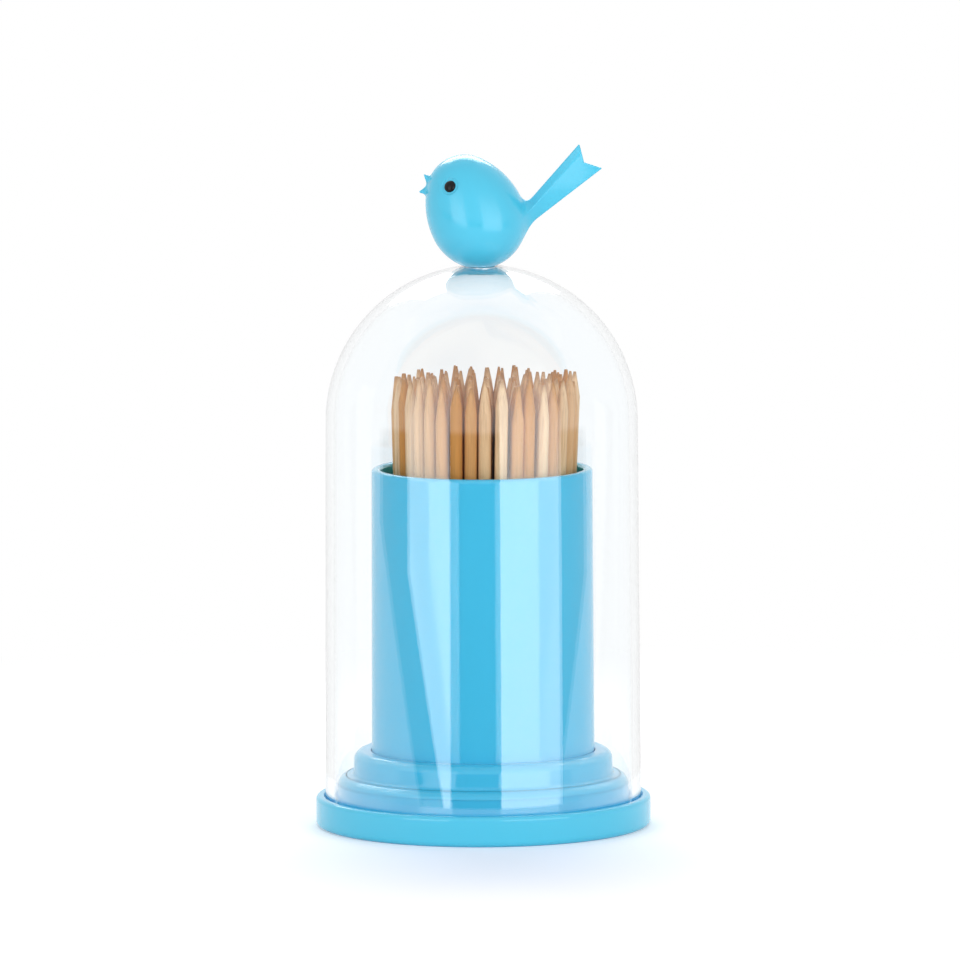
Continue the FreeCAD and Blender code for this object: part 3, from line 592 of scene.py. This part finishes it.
# %% [markdown]
# Each eye is a black bead in a shallow dish. The dish is cut from the body's field: it lies at a
# point of the head and is measured along the surface's own direction there, which is the slope
# of the field, worked out from small differences.

# %% Eye seats, and the field of one shell
EYE_AHEAD, EYE_RISE, HALVINGS = 1.6, 7.6, 40
DISH_RADIUS, DISH_DEPTH = 1.5, 0.25
TAIL_HOLLOW, BILL_HOLLOW, CUT_EDGE, SEAM_EDGE = 2.0, 0.6, 0.14, 0.16


def field_slope(field, point, step=1e-3):
    """The direction in which a field grows fastest, of length one."""
    steps = np.eye(3) * step
    change = np.stack([field(point + move) - field(point - move) for move in steps], axis=-1)
    return change / np.linalg.norm(change, axis=-1, keepdims=True)


def eye_seat(side):
    """The point of the head at the eye's place and its direction. The point is found by halving
    the way out sideways, from the middle plane, again and again."""
    place = MIDDLE - EYE_AHEAD * SIDE_AXIS + EYE_RISE * LONG_AXIS
    inside, outside = 0.0, GIRTH_RADIUS * 2
    for _ in range(HALVINGS):
        halfway = (inside + outside) / 2
        beyond = egg_field(place + [0, side * halfway, 0]) > 0
        inside, outside = (inside, halfway) if beyond else (halfway, outside)
    seat = place + [0, side * inside, 0]
    return seat, field_slope(egg_field, seat)


eye_point, eye_direction = eye_seat(1)


def shell_field(point):
    """The shell on the +Y side: body, tail and bill melted together, cut flat at the crown, dished
    for the eye, hollowed by the wall, then joined by its half of the peg and cut at the seam."""
    whole = smooth_min(egg_field(point), tail_field(point), TAIL_HOLLOW)
    for half in BILLS.values():
        whole = smooth_min(whole, bill_field(point, *half), BILL_HOLLOW)
    whole = smooth_max(whole, CROWN - point[..., Z], CUT_EDGE)
    offset = point - eye_point
    height = offset @ eye_direction
    beside = np.linalg.norm(offset - height[..., None] * eye_direction, axis=-1)
    dish = smooth_max(beside - DISH_RADIUS, -DISH_DEPTH - height, CUT_EDGE)
    whole = smooth_max(whole, -dish, CUT_EDGE)
    whole = smooth_max(whole, -egg_field(point) - SHELL_WALL, CUT_EDGE)
    peg_ends = np.maximum(PEG_END - point[..., Z], point[..., Z] - CROWN - SHELL_WALL)
    peg = smooth_max(np.hypot(point[..., X], point[..., Y]) - PEG_RADIUS, peg_ends, CUT_EDGE)
    return smooth_max(np.minimum(whole, peg), -point[..., Y], SEAM_EDGE)


# %% [markdown]
# ## Reading the surface off the field
#
# A field says where the surface is, but a mesh needs points and faces. A surface net is a plain
# way to get them. Lay a lattice over the bird and mark which of its points are inside. Every
# cell that has both kinds of corner gets one point, and wherever a lattice edge passes from
# inside to outside, the four cells round it are joined by a face. The net is rough at first, so
# each of its points then slides along the field's slope until the field is zero there. The
# lattice lies along the tail, whose straight edges then get straight rows of faces.

# %% Surface net
def surface_net(field, origin, axes, low, high, step):
    """Points and faces of the surface on which a field is zero. Lattice point (i, j, k) lies at
    origin + (low + step * (i, j, k)) @ axes, a cell's point is its middle, and a face is turned
    by the side to which its edge leaves the inside."""
    counts = np.ceil((high - low) / step).astype(int) + 1
    across = np.stack(np.meshgrid(*map(np.arange, (1, *counts[1:])), indexing="ij"), axis=-1)[0]
    inside = np.stack([field(origin + (low + step * (across + [slab, 0, 0])) @ axes) < 0
                       for slab in range(counts[0])])
    corners = [inside[a:counts[0] - 1 + a, b:counts[1] - 1 + b, c:counts[2] - 1 + c]
               for a in (0, 1) for b in (0, 1) for c in (0, 1)]
    filled = np.sum(corners, axis=0)
    mixed = (filled > 0) & (filled < 8)
    number = np.cumsum(mixed).reshape(mixed.shape) - 1
    points = origin + (low + step * (np.argwhere(mixed) + 0.5)) @ axes
    faces = []
    for axis in range(3):
        change = np.diff(inside.astype(int), axis=axis)
        edge = np.argwhere(change)
        second, third = np.roll(np.eye(3, dtype=int), -axis - 1, axis=0)[:2]
        cells = np.stack([edge, edge - second, edge - second - third, edge - third], axis=1)
        face = number[tuple(np.moveaxis(cells, -1, 0))]
        leaving = change[tuple(edge.T)] < 0
        faces.append(np.where(leaving[:, None], face, face[:, ::-1]))
    return points, np.vstack(faces)


# %% Slide the points on to the surface
LONGEST_SLIDE = 0.3


def onto_surface(field, points, rounds):
    """Move each point by the field's value against its slope, again and again."""
    for _ in range(rounds):
        away = np.clip(field(points), -LONGEST_SLIDE, LONGEST_SLIDE)
        points = points - away[:, None] * field_slope(field, points)
    return points


def evened(field, points, faces, rounds=3):
    """Even out the spacing: each point goes half way to the mean of its neighbours, then back."""
    first, second = faces.ravel(), np.roll(faces, -1, axis=1).ravel()
    neighbours = np.bincount(first) + np.bincount(second)
    for _ in range(rounds):
        total = np.stack([np.bincount(first, points[second, axis])
                          + np.bincount(second, points[first, axis]) for axis in range(3)], axis=1)
        points = onto_surface(field, (points + total / neighbours[:, None]) / 2, rounds=3)
    return points


# %% The shell as a net
LATTICE_STEP = 0.15
LATTICE_LOW, LATTICE_HIGH = np.array([-16.5, -0.45, -4.75]), np.array([14.9, 8.7, 18.2])
LATTICE_AXES = np.array([TAIL_AXIS, [0.0, 1.0, 0.0], TAIL_UP])

net_points, net_faces = surface_net(shell_field, TAIL_ROOT, LATTICE_AXES, LATTICE_LOW,
                                    LATTICE_HIGH, LATTICE_STEP)
net_points = onto_surface(shell_field, net_points, rounds=6)
net_points = evened(shell_field, net_points, net_faces)
print(f"net of one shell: {len(net_points)} points, {len(net_faces)} faces,",
      f"at most {np.abs(shell_field(net_points)).max():.3f} mm off the field")

# %% [markdown]
# ## The bird's two shells
#
# The real bird is moulded as a left and a right shell and cemented together, so one net, mirrored,
# makes both. A mesh this fine still has small flat faces, which gloss would show. The field knows
# the true direction of the surface at every point, so we shade by that instead.

# %% Left and right shell
def shade_by_field(piece, side):
    """Give every point of a shell its normal from the field's slope, mirrored for side -1."""
    place = np.empty(3 * len(piece.data.vertices), np.float32)
    piece.data.vertices.foreach_get("co", place)
    mirror = np.array([1.0, side, 1.0])
    normals = field_slope(shell_field, place.reshape(-1, 3) / MM * mirror) * mirror
    piece.data.normals_split_custom_set_from_vertices(normals.tolist())


bird = {}
for side_name, side in (("left", -1), ("right", 1)):
    shell = write_piece(f"bird_{side_name}", [(net_points * [1, side, 1], net_faces)], bird_abs,
                        sharp_angle=180.0)
    shade_by_field(shell, side)
    bird[side_name] = shell

# %% [markdown]
# ## The eyes
#
# A bead is a low dome with a stem that is pressed into the shell. It is turned like the base, but
# about the direction in which the head faces at the eye. It is polished black acrylic, on which
# little more than small highlights shows. Half the usual strength of its mirroring keeps the
# white studio from turning a bead this small grey.

# %% Black beads
BEAD_RADIUS, BEAD_PROUD, STEM_RADIUS, STEM_LENGTH = 1.05, 0.35, 0.6, 1.1
BEAD_BLACK, BEAD_STEPS, WEAR_MM = "#0B0C0E", 24, 0.4


def bead_outline():
    """Stem, then the underside, then a quarter ellipse: its radius goes by the cosine and its
    height by the sine."""
    angle = np.linspace(0, math.pi / 2, BEAD_STEPS + 1)
    dome = np.stack([BEAD_RADIUS * np.cos(angle),
                     -DISH_DEPTH + (BEAD_PROUD + DISH_DEPTH) * np.sin(angle)], axis=1)
    stem = [(0, -DISH_DEPTH - STEM_LENGTH), (STEM_RADIUS, -DISH_DEPTH - STEM_LENGTH),
            (STEM_RADIUS, -DISH_DEPTH)]
    return np.vstack([stem, dome])


def stood_on(points, origin, direction):
    """Points made about Z, turned so that Z lies along a direction, and moved to an origin."""
    beside = np.cross(direction, [0.0, 0.0, 1.0])
    beside /= np.linalg.norm(beside)
    return origin + points @ np.array([beside, np.cross(direction, beside), direction])


def polished_black():
    material, tree, output = new_material("polished_black_acrylic")
    place = add_node(tree, "TexCoord").outputs["Object"]
    gloss = uneven_gloss(tree, place, WEAR_MM, detail=3.0, levels=(0.4, 0.8),
                         roughness=(0.03, 0.12))
    bead = add_node(tree, "BsdfPrincipled", {"Base Color": linear(BEAD_BLACK), "IOR": 1.49,
                                             "Specular IOR Level": 0.25, "Roughness": gloss})
    tree.links.new(bead.outputs["BSDF"], output.inputs["Surface"])
    return material


black_acrylic = polished_black()
bead_points, bead_faces = turned(bead_outline(), steps=64)
bead_points = stood_on(bead_points, eye_point, eye_direction)
eyes = {side_name: write_piece(f"eye_{side_name}", [(bead_points * [1, side, 1], bead_faces)],
                               black_acrylic)
        for side_name, side in (("left", -1), ("right", 1))}

# %% [markdown]
# ## The toothpicks
#
# A toothpick is turned from birch: a round shaft with a long taper at each end and a blunt point.
# The sheaf stands in rings, each ring leaning out a little more. No two real picks are alike, so
# each gets its own length, its own tapers and a slight lean of its own. Every shape that is
# repeated this often must be light: fifty faces are enough for a stick two millimetres thick.

# %% Rings of toothpicks
PICK_LENGTH, PICK_RADIUS, BLUNT_RADIUS, PICK_GAP, PICK_LIFT = 65.0, 1.075, 0.25, 0.05, 0.15
SHEAF_SPREAD, SHEAF_SIDE_GAP, PICK_SIDES = 1.15, 0.5, 10
SHORTEST, LEAN_JITTER, SHEAF_LEAN = 63.4, 0.4, 0.8

pick_level = CUP_INSIDE_FLOOR + PICK_LIFT
pick_pitch = 2 * PICK_RADIUS + PICK_GAP
rim_spread = 1 + (SHEAF_SPREAD - 1) * (CUP_RIM - pick_level) / PICK_LENGTH
ring_count = int((CUP_BORE_RADIUS - SHEAF_SIDE_GAP - PICK_RADIUS) / (pick_pitch * rim_spread))
ring = np.concatenate([np.full(max(1, 6 * number), number) for number in range(ring_count + 1)])
place_in_ring = np.concatenate([np.arange(max(1, 6 * number)) for number in range(ring_count + 1)])
bearing = 2 * math.pi * (place_in_ring + ring % 2 / 2) / np.maximum(6 * ring, 1)
outward = np.stack([np.cos(bearing), np.sin(bearing), 0 * bearing], axis=1)
foot = outward * (ring * pick_pitch)[:, None] + [0, 0, pick_level]

chance = np.random.default_rng(7)
pick_count = len(ring)
nudge_way = chance.uniform(0, 2 * math.pi, pick_count)
nudge = chance.uniform(0, 1, pick_count) ** 0.5
top_shift = LEAN_JITTER * np.stack([nudge * np.cos(nudge_way), nudge * np.sin(nudge_way),
                                    0 * nudge], axis=1)
lean_out = ring * pick_pitch * (SHEAF_SPREAD - 1)
way = outward * lean_out[:, None] + top_shift + [SHEAF_LEAN, 0, PICK_LENGTH]
way /= np.linalg.norm(way, axis=1, keepdims=True)
length = chance.uniform(SHORTEST, PICK_LENGTH, pick_count)
print(f"{pick_count} toothpicks in {ring_count} rings round the middle one")


# %% The sheaf as one mesh
TAPERS, BROWNED_LENGTH, GRAIN_SPREAD = (3.6, 6.4), 3.0, 40.0
BLUNT_SHARES, SWELL_SHARES = (0.6, 1.3), (0.58, 0.68)


def sheaf_mesh():
    """Every toothpick at once. A point lies at foot + along * way + radius * (cosine, sine) in the
    plane across the pick. The radius grows from the blunt end over the taper, slightly convex."""
    taper = chance.uniform(*TAPERS, (pick_count, 2))
    zero = np.zeros(pick_count)
    along = np.stack([zero, taper[:, 0] * 0.5, taper[:, 0], length - taper[:, 1],
                      length - taper[:, 1] * 0.5, length], axis=1)
    blunt = chance.uniform(*BLUNT_SHARES, (pick_count, 2)) * BLUNT_RADIUS
    swell = chance.uniform(*SWELL_SHARES, (pick_count, 2)) * PICK_RADIUS
    full = np.full(pick_count, PICK_RADIUS)
    radius = np.stack([blunt[:, 0], swell[:, 0], full, full, swell[:, 1], blunt[:, 1]], axis=1)
    beside = np.cross(way, [0.0, 1.0, 0.0])
    beside /= np.linalg.norm(beside, axis=1, keepdims=True)
    behind = np.cross(way, beside)
    turn = np.arange(PICK_SIDES) * 2 * math.pi / PICK_SIDES
    rim = (beside[:, None] * np.cos(turn)[:, None] + behind[:, None] * np.sin(turn)[:, None])
    points = (foot[:, None, None] + along[:, :, None, None] * way[:, None, None]
              + radius[:, :, None, None] * rim[:, None])
    rows = along.shape[1]
    one = grid_faces(rows, PICK_SIDES, wrap_columns=True)
    start = np.arange(pick_count)[:, None, None] * rows * PICK_SIDES
    sides = (one + start).reshape(-1, 4)
    last_row = np.arange(PICK_SIDES)[::-1] + (rows - 1) * PICK_SIDES
    ends = np.stack([np.arange(PICK_SIDES), last_row]) + start
    mesh = bpy.data.meshes.new("toothpick_sheaf")
    mesh.from_pydata((points.reshape(-1, 3) * MM).tolist(), [],
                     sides.tolist() + ends.reshape(-1, PICK_SIDES).tolist())
    to_end = np.minimum(along, length[:, None] - along)
    tone = (1 - np.cos(math.pi * chance.uniform(0, 1, pick_count))) / 2
    values = {"end": np.clip(1 - to_end / BROWNED_LENGTH, 0, 1)[:, :, None] + 0 * turn,
              "tone": tone[:, None, None] + 0 * points[..., 0]}
    for name, value in values.items():
        mesh.attributes.new(name, "FLOAT", "POINT").data.foreach_set("value", value.ravel())
    own_grain = GRAIN_SPREAD * chance.uniform(size=(pick_count, 1, 1))
    grain = np.stack([radius[:, :, None] * np.cos(turn) + own_grain,
                      radius[:, :, None] * np.sin(turn) + 0 * turn,
                      along[:, :, None] + 0 * turn], axis=3)
    mesh.attributes.new("grain", "FLOAT_VECTOR", "POINT").data.foreach_set("vector", grain.ravel())
    mesh.shade_smooth()
    mesh.set_sharp_from_angle(angle=math.radians(50))
    print(f"sheaf: {len(mesh.vertices)} points, {len(mesh.polygons)} faces")
    return mesh


# %% [markdown]
# ## Bare birch
#
# Birch is pale and almost without rings at this scale. What the eye reads is the fibre: fine
# streaks along the stick, some browner sticks among the cream ones, and end grain at the points,
# which drinks up moisture and turns brown. Bare wood has no gloss, so its roughness is high.

# %% Turned birch
BIRCH_CREAM, BIRCH_TAN, FIBRE_BROWN, END_BROWN = "#F3D0A0", "#D28F3C", "#A06A2E", "#A9702C"
FIBRE_WIDTH_MM, FIBRE_LENGTH_MM, FIBRE_HEIGHT_MM = 0.35, 9.0, 0.02


def turned_birch():
    material, tree, output = new_material("bare_turned_birch")
    grain, tone, end = (add_node(tree, "Attribute", attribute_name=name).outputs
                        for name in ("grain", "tone", "end"))
    stretch = add_node(tree, "VectorMath", {
        0: grain["Vector"], 1: (1 / FIBRE_WIDTH_MM, 1 / FIBRE_WIDTH_MM, 1 / FIBRE_LENGTH_MM)},
        operation="MULTIPLY")
    fibre = add_node(tree, "TexNoise", {"Vector": stretch.outputs["Vector"], "Scale": 1.0,
                                        "Detail": 3.0, "Roughness": 0.6})
    streak = add_node(tree, "MapRange", {"Value": fibre.outputs["Fac"], "From Min": 0.45,
                                         "From Max": 0.8, "To Min": 0.0, "To Max": 0.55})
    stick = add_node(tree, "Mix", {SHARE: tone["Fac"], FIRST: linear(BIRCH_CREAM),
                                   SECOND: linear(BIRCH_TAN)}, data_type="RGBA")
    streaked = add_node(tree, "Mix", {SHARE: streak.outputs["Result"],
                                      FIRST: stick.outputs[BLEND],
                                      SECOND: linear(FIBRE_BROWN)}, data_type="RGBA")
    browned = add_node(tree, "MapRange", {"Value": end["Fac"], "From Min": 0.55, "From Max": 1.0,
                                          "To Min": 0.0, "To Max": 0.75})
    colour = add_node(tree, "Mix", {SHARE: browned.outputs["Result"],
                                    FIRST: streaked.outputs[BLEND],
                                    SECOND: linear(END_BROWN)}, data_type="RGBA")
    relief = add_node(tree, "Bump", {"Height": fibre.outputs["Fac"], "Strength": 0.6,
                                     "Distance": FIBRE_HEIGHT_MM * MM})
    wood = add_node(tree, "BsdfPrincipled", {
        "Base Color": colour.outputs[BLEND], "Roughness": 0.62, "IOR": 1.45,
        "Normal": relief.outputs["Normal"]})
    tree.links.new(wood.outputs["BSDF"], output.inputs["Surface"])
    return material


picks = show_mesh(sheaf_mesh(), turned_birch())

# %% [markdown]
# ## What moves with what
#
# The base and the cup stand still, the dome carries the bird, and the sheaf of toothpicks rises
# by itself. Every piece rides on one of these three bodies, and the part of the engineering model
# that it stands for is hidden.

# %% Ride, and hide the part each piece replaces
RIDES = (
    (base, "stand", "blue_plastic", ("base",)),
    (base_ribs, "stand", "blue_plastic", ()),
    (cup, "stand", "blue_plastic", ("cup",)),
    (dome, "lid", "clear_plastic", ("dome",)),
    (bird["left"], "lid", "blue_plastic", ("bird_left_shell",)),
    (bird["right"], "lid", "blue_plastic", ("bird_right_shell",)),
    (eyes["left"], "lid", "black_plastic", ("bird_eye_left",)),
    (eyes["right"], "lid", "black_plastic", ("bird_eye_right",)),
    (picks, "sheaf", "wood", ("toothpicks",)),
)
for piece, body, slot_name, nodes in RIDES:
    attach(piece, body)
    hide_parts(*nodes)
print("pieces:", [piece.name for piece, *_ in RIDES])

# %% [markdown]
# ## The studio
#
# A glossy thing shows its surroundings, so the surroundings have to be built as carefully as the
# thing. Glass and gloss look clear only when they mirror something dark with a few bright shapes
# in it. So a dark card curves round in front of the object, seen only by reflections, and two
# softboxes stand before it. They also light the object, with the sky of the studio as fill.

# %% Emitters
CARD_RADIUS, BOX_RADIUS, PATCH_STEPS = 1000.0, 600.0, 48
SOFTBOX_STRENGTH, CARD_GREY = 2.8, "#1C2226"
BOX_TOP, BOX_FADE, CARD_TOP, CARD_FADE, CARD_LOW = 700.0, 0.0, 60.0, -45.0, -138.0
# A ray's glossy depth is 0 until a mirror turns it, and 1 or more from then on.
HALF_A_BOUNCE = 0.5


def upright_patch(name, radius, first, last, low_first, low_last, top, material):
    """A patch of a cylinder about Z: the turn runs from first to last, in degrees from the side
    of the viewer, and the lower edge from one level to another while the top stays level."""
    turn = np.radians(np.linspace(first, last, PATCH_STEPS + 1))
    low = np.linspace(low_first, low_last, len(turn))
    level = np.stack([low, np.full(len(turn), top)])
    points = np.stack([radius * np.sin(turn) + 0 * level, -radius * np.cos(turn) + 0 * level,
                       level], axis=2).reshape(-1, 3)
    mesh = bpy.data.meshes.new(name)
    mesh.from_pydata((points * MM).tolist(), [], grid_faces(2, len(turn)).tolist())
    patch = show_mesh(mesh, material)
    patch.visible_camera = False
    patch.visible_shadow = False
    return patch


def studio_emitter(name, colour, strength, fade_start, fade_end):
    """Light of one colour that turns to the white of the sky between two levels, but nothing at
    all for a look straight through clear plastic."""
    material, tree, output = new_material(name)
    ray = add_node(tree, "LightPath").outputs
    unmirrored = add_node(tree, "Math", {0: ray["Glossy Depth"], 1: HALF_A_BOUNCE},
                          operation="LESS_THAN")
    straight = add_node(tree, "Math", {0: ray["Is Transmission Ray"], 1: unmirrored.outputs[0]},
                        operation="MULTIPLY")
    place = add_node(tree, "SeparateXYZ", {0: add_node(tree, "TexCoord").outputs["Object"]})
    fade = add_node(tree, "MapRange", {"Value": place.outputs["Z"], "From Min": fade_start * MM,
                                       "From Max": fade_end * MM},
                    interpolation_type="SMOOTHSTEP").outputs["Result"]
    own = add_node(tree, "Emission", {"Color": linear(colour), "Strength": strength})
    white = add_node(tree, "Emission", {"Color": linear("#FFFFFF"), "Strength": 1.0})
    light = add_node(tree, "MixShader", {"Fac": fade, 1: own.outputs[0], 2: white.outputs[0]})
    nothing = add_node(tree, "BsdfTransparent")
    seen = add_node(tree, "MixShader", {"Fac": straight.outputs[0], 1: light.outputs[0],
                                        2: nothing.outputs[0]})
    tree.links.new(seen.outputs[0], output.inputs["Surface"])
    return material


softbox_light = studio_emitter("softbox", "#FFFFFF", SOFTBOX_STRENGTH, BOX_FADE, BOX_TOP)
card_grey = studio_emitter("dark_card", CARD_GREY, 1.0, CARD_FADE, CARD_TOP)
# The numbers of a patch: its first and its last turn, and the level of its lower edge at each.
upright_patch("left_softbox", BOX_RADIUS, -55.5, -23.5, -17, -80, BOX_TOP, softbox_light)
upright_patch("right_softbox", BOX_RADIUS, 13, 59, CARD_LOW, CARD_LOW, BOX_TOP, softbox_light)
for name, first, last, low_first, low_last in (
        ("card_left", -80, -40, -50, CARD_LOW),
        ("card_middle", -40, 60, CARD_LOW, CARD_LOW),
        ("card_right", 60, 82, -113, -64)):
    card = upright_patch(name, CARD_RADIUS, first, last, low_first, low_last, CARD_TOP, card_grey)
    card.visible_diffuse = False

# %% [markdown]
# The studio's sky is white for the eye and for mirrors, and dimmer as a source of light. The
# table is white too: part of what the eye and mirrors see of it is its own light, which grows with
# the distance from a point in front of the base, so that the far table is as white as the sky.
# Near that point the own light is painted dimmer and bluish: a painted shadow with painted blue
# bounce in it, on top of the real shadow that the table's lit part takes. The base mirrors the
# table that it stands on, but further out mirrors look through it to the dark card. A lamp high up
# behind the object gives the bird its pale cap.

# %% Sky, table and the light behind
# The table's own light is a painted shadow near a point in front of the base, dimmer and bluish
# there, and grows to its plain level between two distances from that point.
SKY_FILL, TABLE_WHITE, PAINTED_SHADOW_GLOW, GLOW_FAR = 0.52, "#ECECEC", "#76859A", "#959595"
PAINTED_SHADOW_CENTRE, PAINTED_SHADOW_START, PAINTED_SHADOW_END = -40.0, 12.0, 55.0
WHITE_START, WHITE_END, MIRRORED_TABLE = 110.0, 240.0, 75.0
REAR_LAMP_DISTANCE, REAR_LAMP_ELEVATION, REAR_LAMP_POWER = 800.0, math.radians(37), 4.0
REAR_LAMP_WIDTH, REAR_LAMP_HEIGHT, REAR_LAMP_SHIFT = 600.0, 420.0, -40.0


def looked_at(tree, ray):
    """One for what is seen, straight, in a mirror or through clear plastic, and zero for what
    only lights the object."""
    bounced = add_node(tree, "Math", {0: ray["Is Glossy Ray"], 1: ray["Is Transmission Ray"]},
                       operation="MAXIMUM")
    looked = add_node(tree, "Math", {0: ray["Is Camera Ray"], 1: bounced.outputs[0]},
                      operation="MAXIMUM")
    return looked.outputs[0]


def white_sky():
    world = bpy.data.worlds.new("white_studio")
    world.use_nodes = True
    tree = world.node_tree
    tree.nodes.clear()
    looked = looked_at(tree, add_node(tree, "LightPath").outputs)
    fill = add_node(tree, "Background", {"Color": linear("#FFFFFF"), "Strength": SKY_FILL})
    white = add_node(tree, "Background", {"Color": linear("#FFFFFF"), "Strength": 1.0})
    sky = add_node(tree, "MixShader", {"Fac": looked, 1: fill.outputs[0], 2: white.outputs[0]})
    output = add_node(tree, "OutputWorld")
    tree.links.new(sky.outputs[0], output.inputs["Surface"])
    bpy.context.scene.world = world


def table_with_painted_shadow():
    material, tree, output = new_material("table_with_painted_shadow")
    ray = add_node(tree, "LightPath").outputs
    looked = looked_at(tree, ray)
    place = add_node(tree, "TexCoord").outputs["Object"]
    away = add_node(tree, "VectorMath", {0: place}, operation="LENGTH").outputs["Value"]
    # Painted shadow: the own light is dimmer and bluish near a point in front of the base.
    ahead = add_node(tree, "VectorMath", {0: place, 1: (0.0, PAINTED_SHADOW_CENTRE * MM, 0.0)},
                     operation="DISTANCE").outputs["Value"]
    out_of_painted_shadow = add_node(tree, "MapRange", {"Value": ahead, "From Min": PAINTED_SHADOW_START * MM,
                                          "From Max": PAINTED_SHADOW_END * MM},
                       interpolation_type="SMOOTHSTEP").outputs["Result"]
    glow_with_painted_shadow = add_node(tree, "Mix", {SHARE: out_of_painted_shadow, FIRST: linear(PAINTED_SHADOW_GLOW),
                                  SECOND: linear(GLOW_FAR)}, data_type="RGBA")
    lit = add_node(tree, "BsdfDiffuse", {"Color": linear(TABLE_WHITE)})
    own = add_node(tree, "Emission", {"Color": glow_with_painted_shadow.outputs[BLEND], "Strength": looked})
    near = add_node(tree, "AddShader", {0: lit.outputs[0], 1: own.outputs[0]})
    whitening = add_node(tree, "MapRange", {"Value": away, "From Min": WHITE_START * MM,
                                            "From Max": WHITE_END * MM},
                         interpolation_type="SMOOTHSTEP").outputs["Result"]
    plain = add_node(tree, "Math", {0: whitening, 1: looked}, operation="MULTIPLY")
    white = add_node(tree, "Emission", {"Color": linear("#FFFFFF"), "Strength": 1.0})
    both = add_node(tree, "MixShader", {"Fac": plain.outputs[0], 1: near.outputs[0],
                                        2: white.outputs[0]})
    mirrored = add_node(tree, "Math", {0: ray["Glossy Depth"], 1: HALF_A_BOUNCE},
                        operation="GREATER_THAN")
    far = add_node(tree, "Math", {0: away, 1: MIRRORED_TABLE * MM}, operation="GREATER_THAN")
    unseen = add_node(tree, "Math", {0: mirrored.outputs[0], 1: far.outputs[0]},
                      operation="MULTIPLY")
    nothing = add_node(tree, "BsdfTransparent")
    seen = add_node(tree, "MixShader", {"Fac": unseen.outputs[0], 1: both.outputs[0],
                                        2: nothing.outputs[0]})
    tree.links.new(seen.outputs[0], output.inputs["Surface"])
    return material


white_sky()
TABLE_HALF = 3000.0
table_corners = np.array([[-1, -1, 0], [1, -1, 0], [1, 1, 0], [-1, 1, 0]]) * TABLE_HALF
table_mesh = bpy.data.meshes.new("table")
table_mesh.from_pydata((table_corners * MM).tolist(), [], [(0, 1, 2, 3)])
table = show_mesh(table_mesh, table_with_painted_shadow())

rear_light = bpy.data.lights.new("rear_light", "AREA")
rear_light.shape, rear_light.energy = "RECTANGLE", REAR_LAMP_POWER
rear_light.size, rear_light.size_y = REAR_LAMP_WIDTH * MM, REAR_LAMP_HEIGHT * MM
rear_lamp = bpy.data.objects.new("rear_light", rear_light)
rear_lamp.visible_camera = False
rear_lamp.location = (REAR_LAMP_SHIFT * MM,
                      REAR_LAMP_DISTANCE * MM * math.cos(REAR_LAMP_ELEVATION),
                      REAR_LAMP_DISTANCE * MM * math.sin(REAR_LAMP_ELEVATION) + CROWN * MM)
rear_lamp.rotation_euler = (REAR_LAMP_ELEVATION - math.pi / 2, 0, 0)
bpy.context.scene.collection.objects.link(rear_lamp)

# %% [markdown]
# ## The camera
#
# The camera stands well back with a long lens, as a product photographer's does, higher than the
# bird and looking slightly down.

# %% Camera
from mathutils import Matrix

CAMERA_BACK, CAMERA_UP = 1805.0, 264.5
FOCAL_PIXELS, FRAME_PIXELS = 10519.0, 960.0
LOOK_DOWN, LOOK_RIGHT, ROLL = 6.467, -0.0109, -0.25

camera = bpy.data.cameras.new("camera")
camera.sensor_width = 36.0
camera.lens = FOCAL_PIXELS / FRAME_PIXELS * camera.sensor_width
camera.clip_start, camera.clip_end = 0.05, 20.0
camera_object = bpy.data.objects.new("camera", camera)
camera_object.matrix_world = (Matrix.Translation((0, -CAMERA_BACK * MM, CAMERA_UP * MM))
                              @ Matrix.Rotation(math.radians(-LOOK_RIGHT), 4, "Z")
                              @ Matrix.Rotation(math.radians(90 - LOOK_DOWN), 4, "X")
                              @ Matrix.Rotation(math.radians(ROLL), 4, "Z"))
bpy.context.scene.collection.objects.link(camera_object)
bpy.context.scene.camera = camera_object
bpy.context.scene.view_settings.view_transform = "Standard"
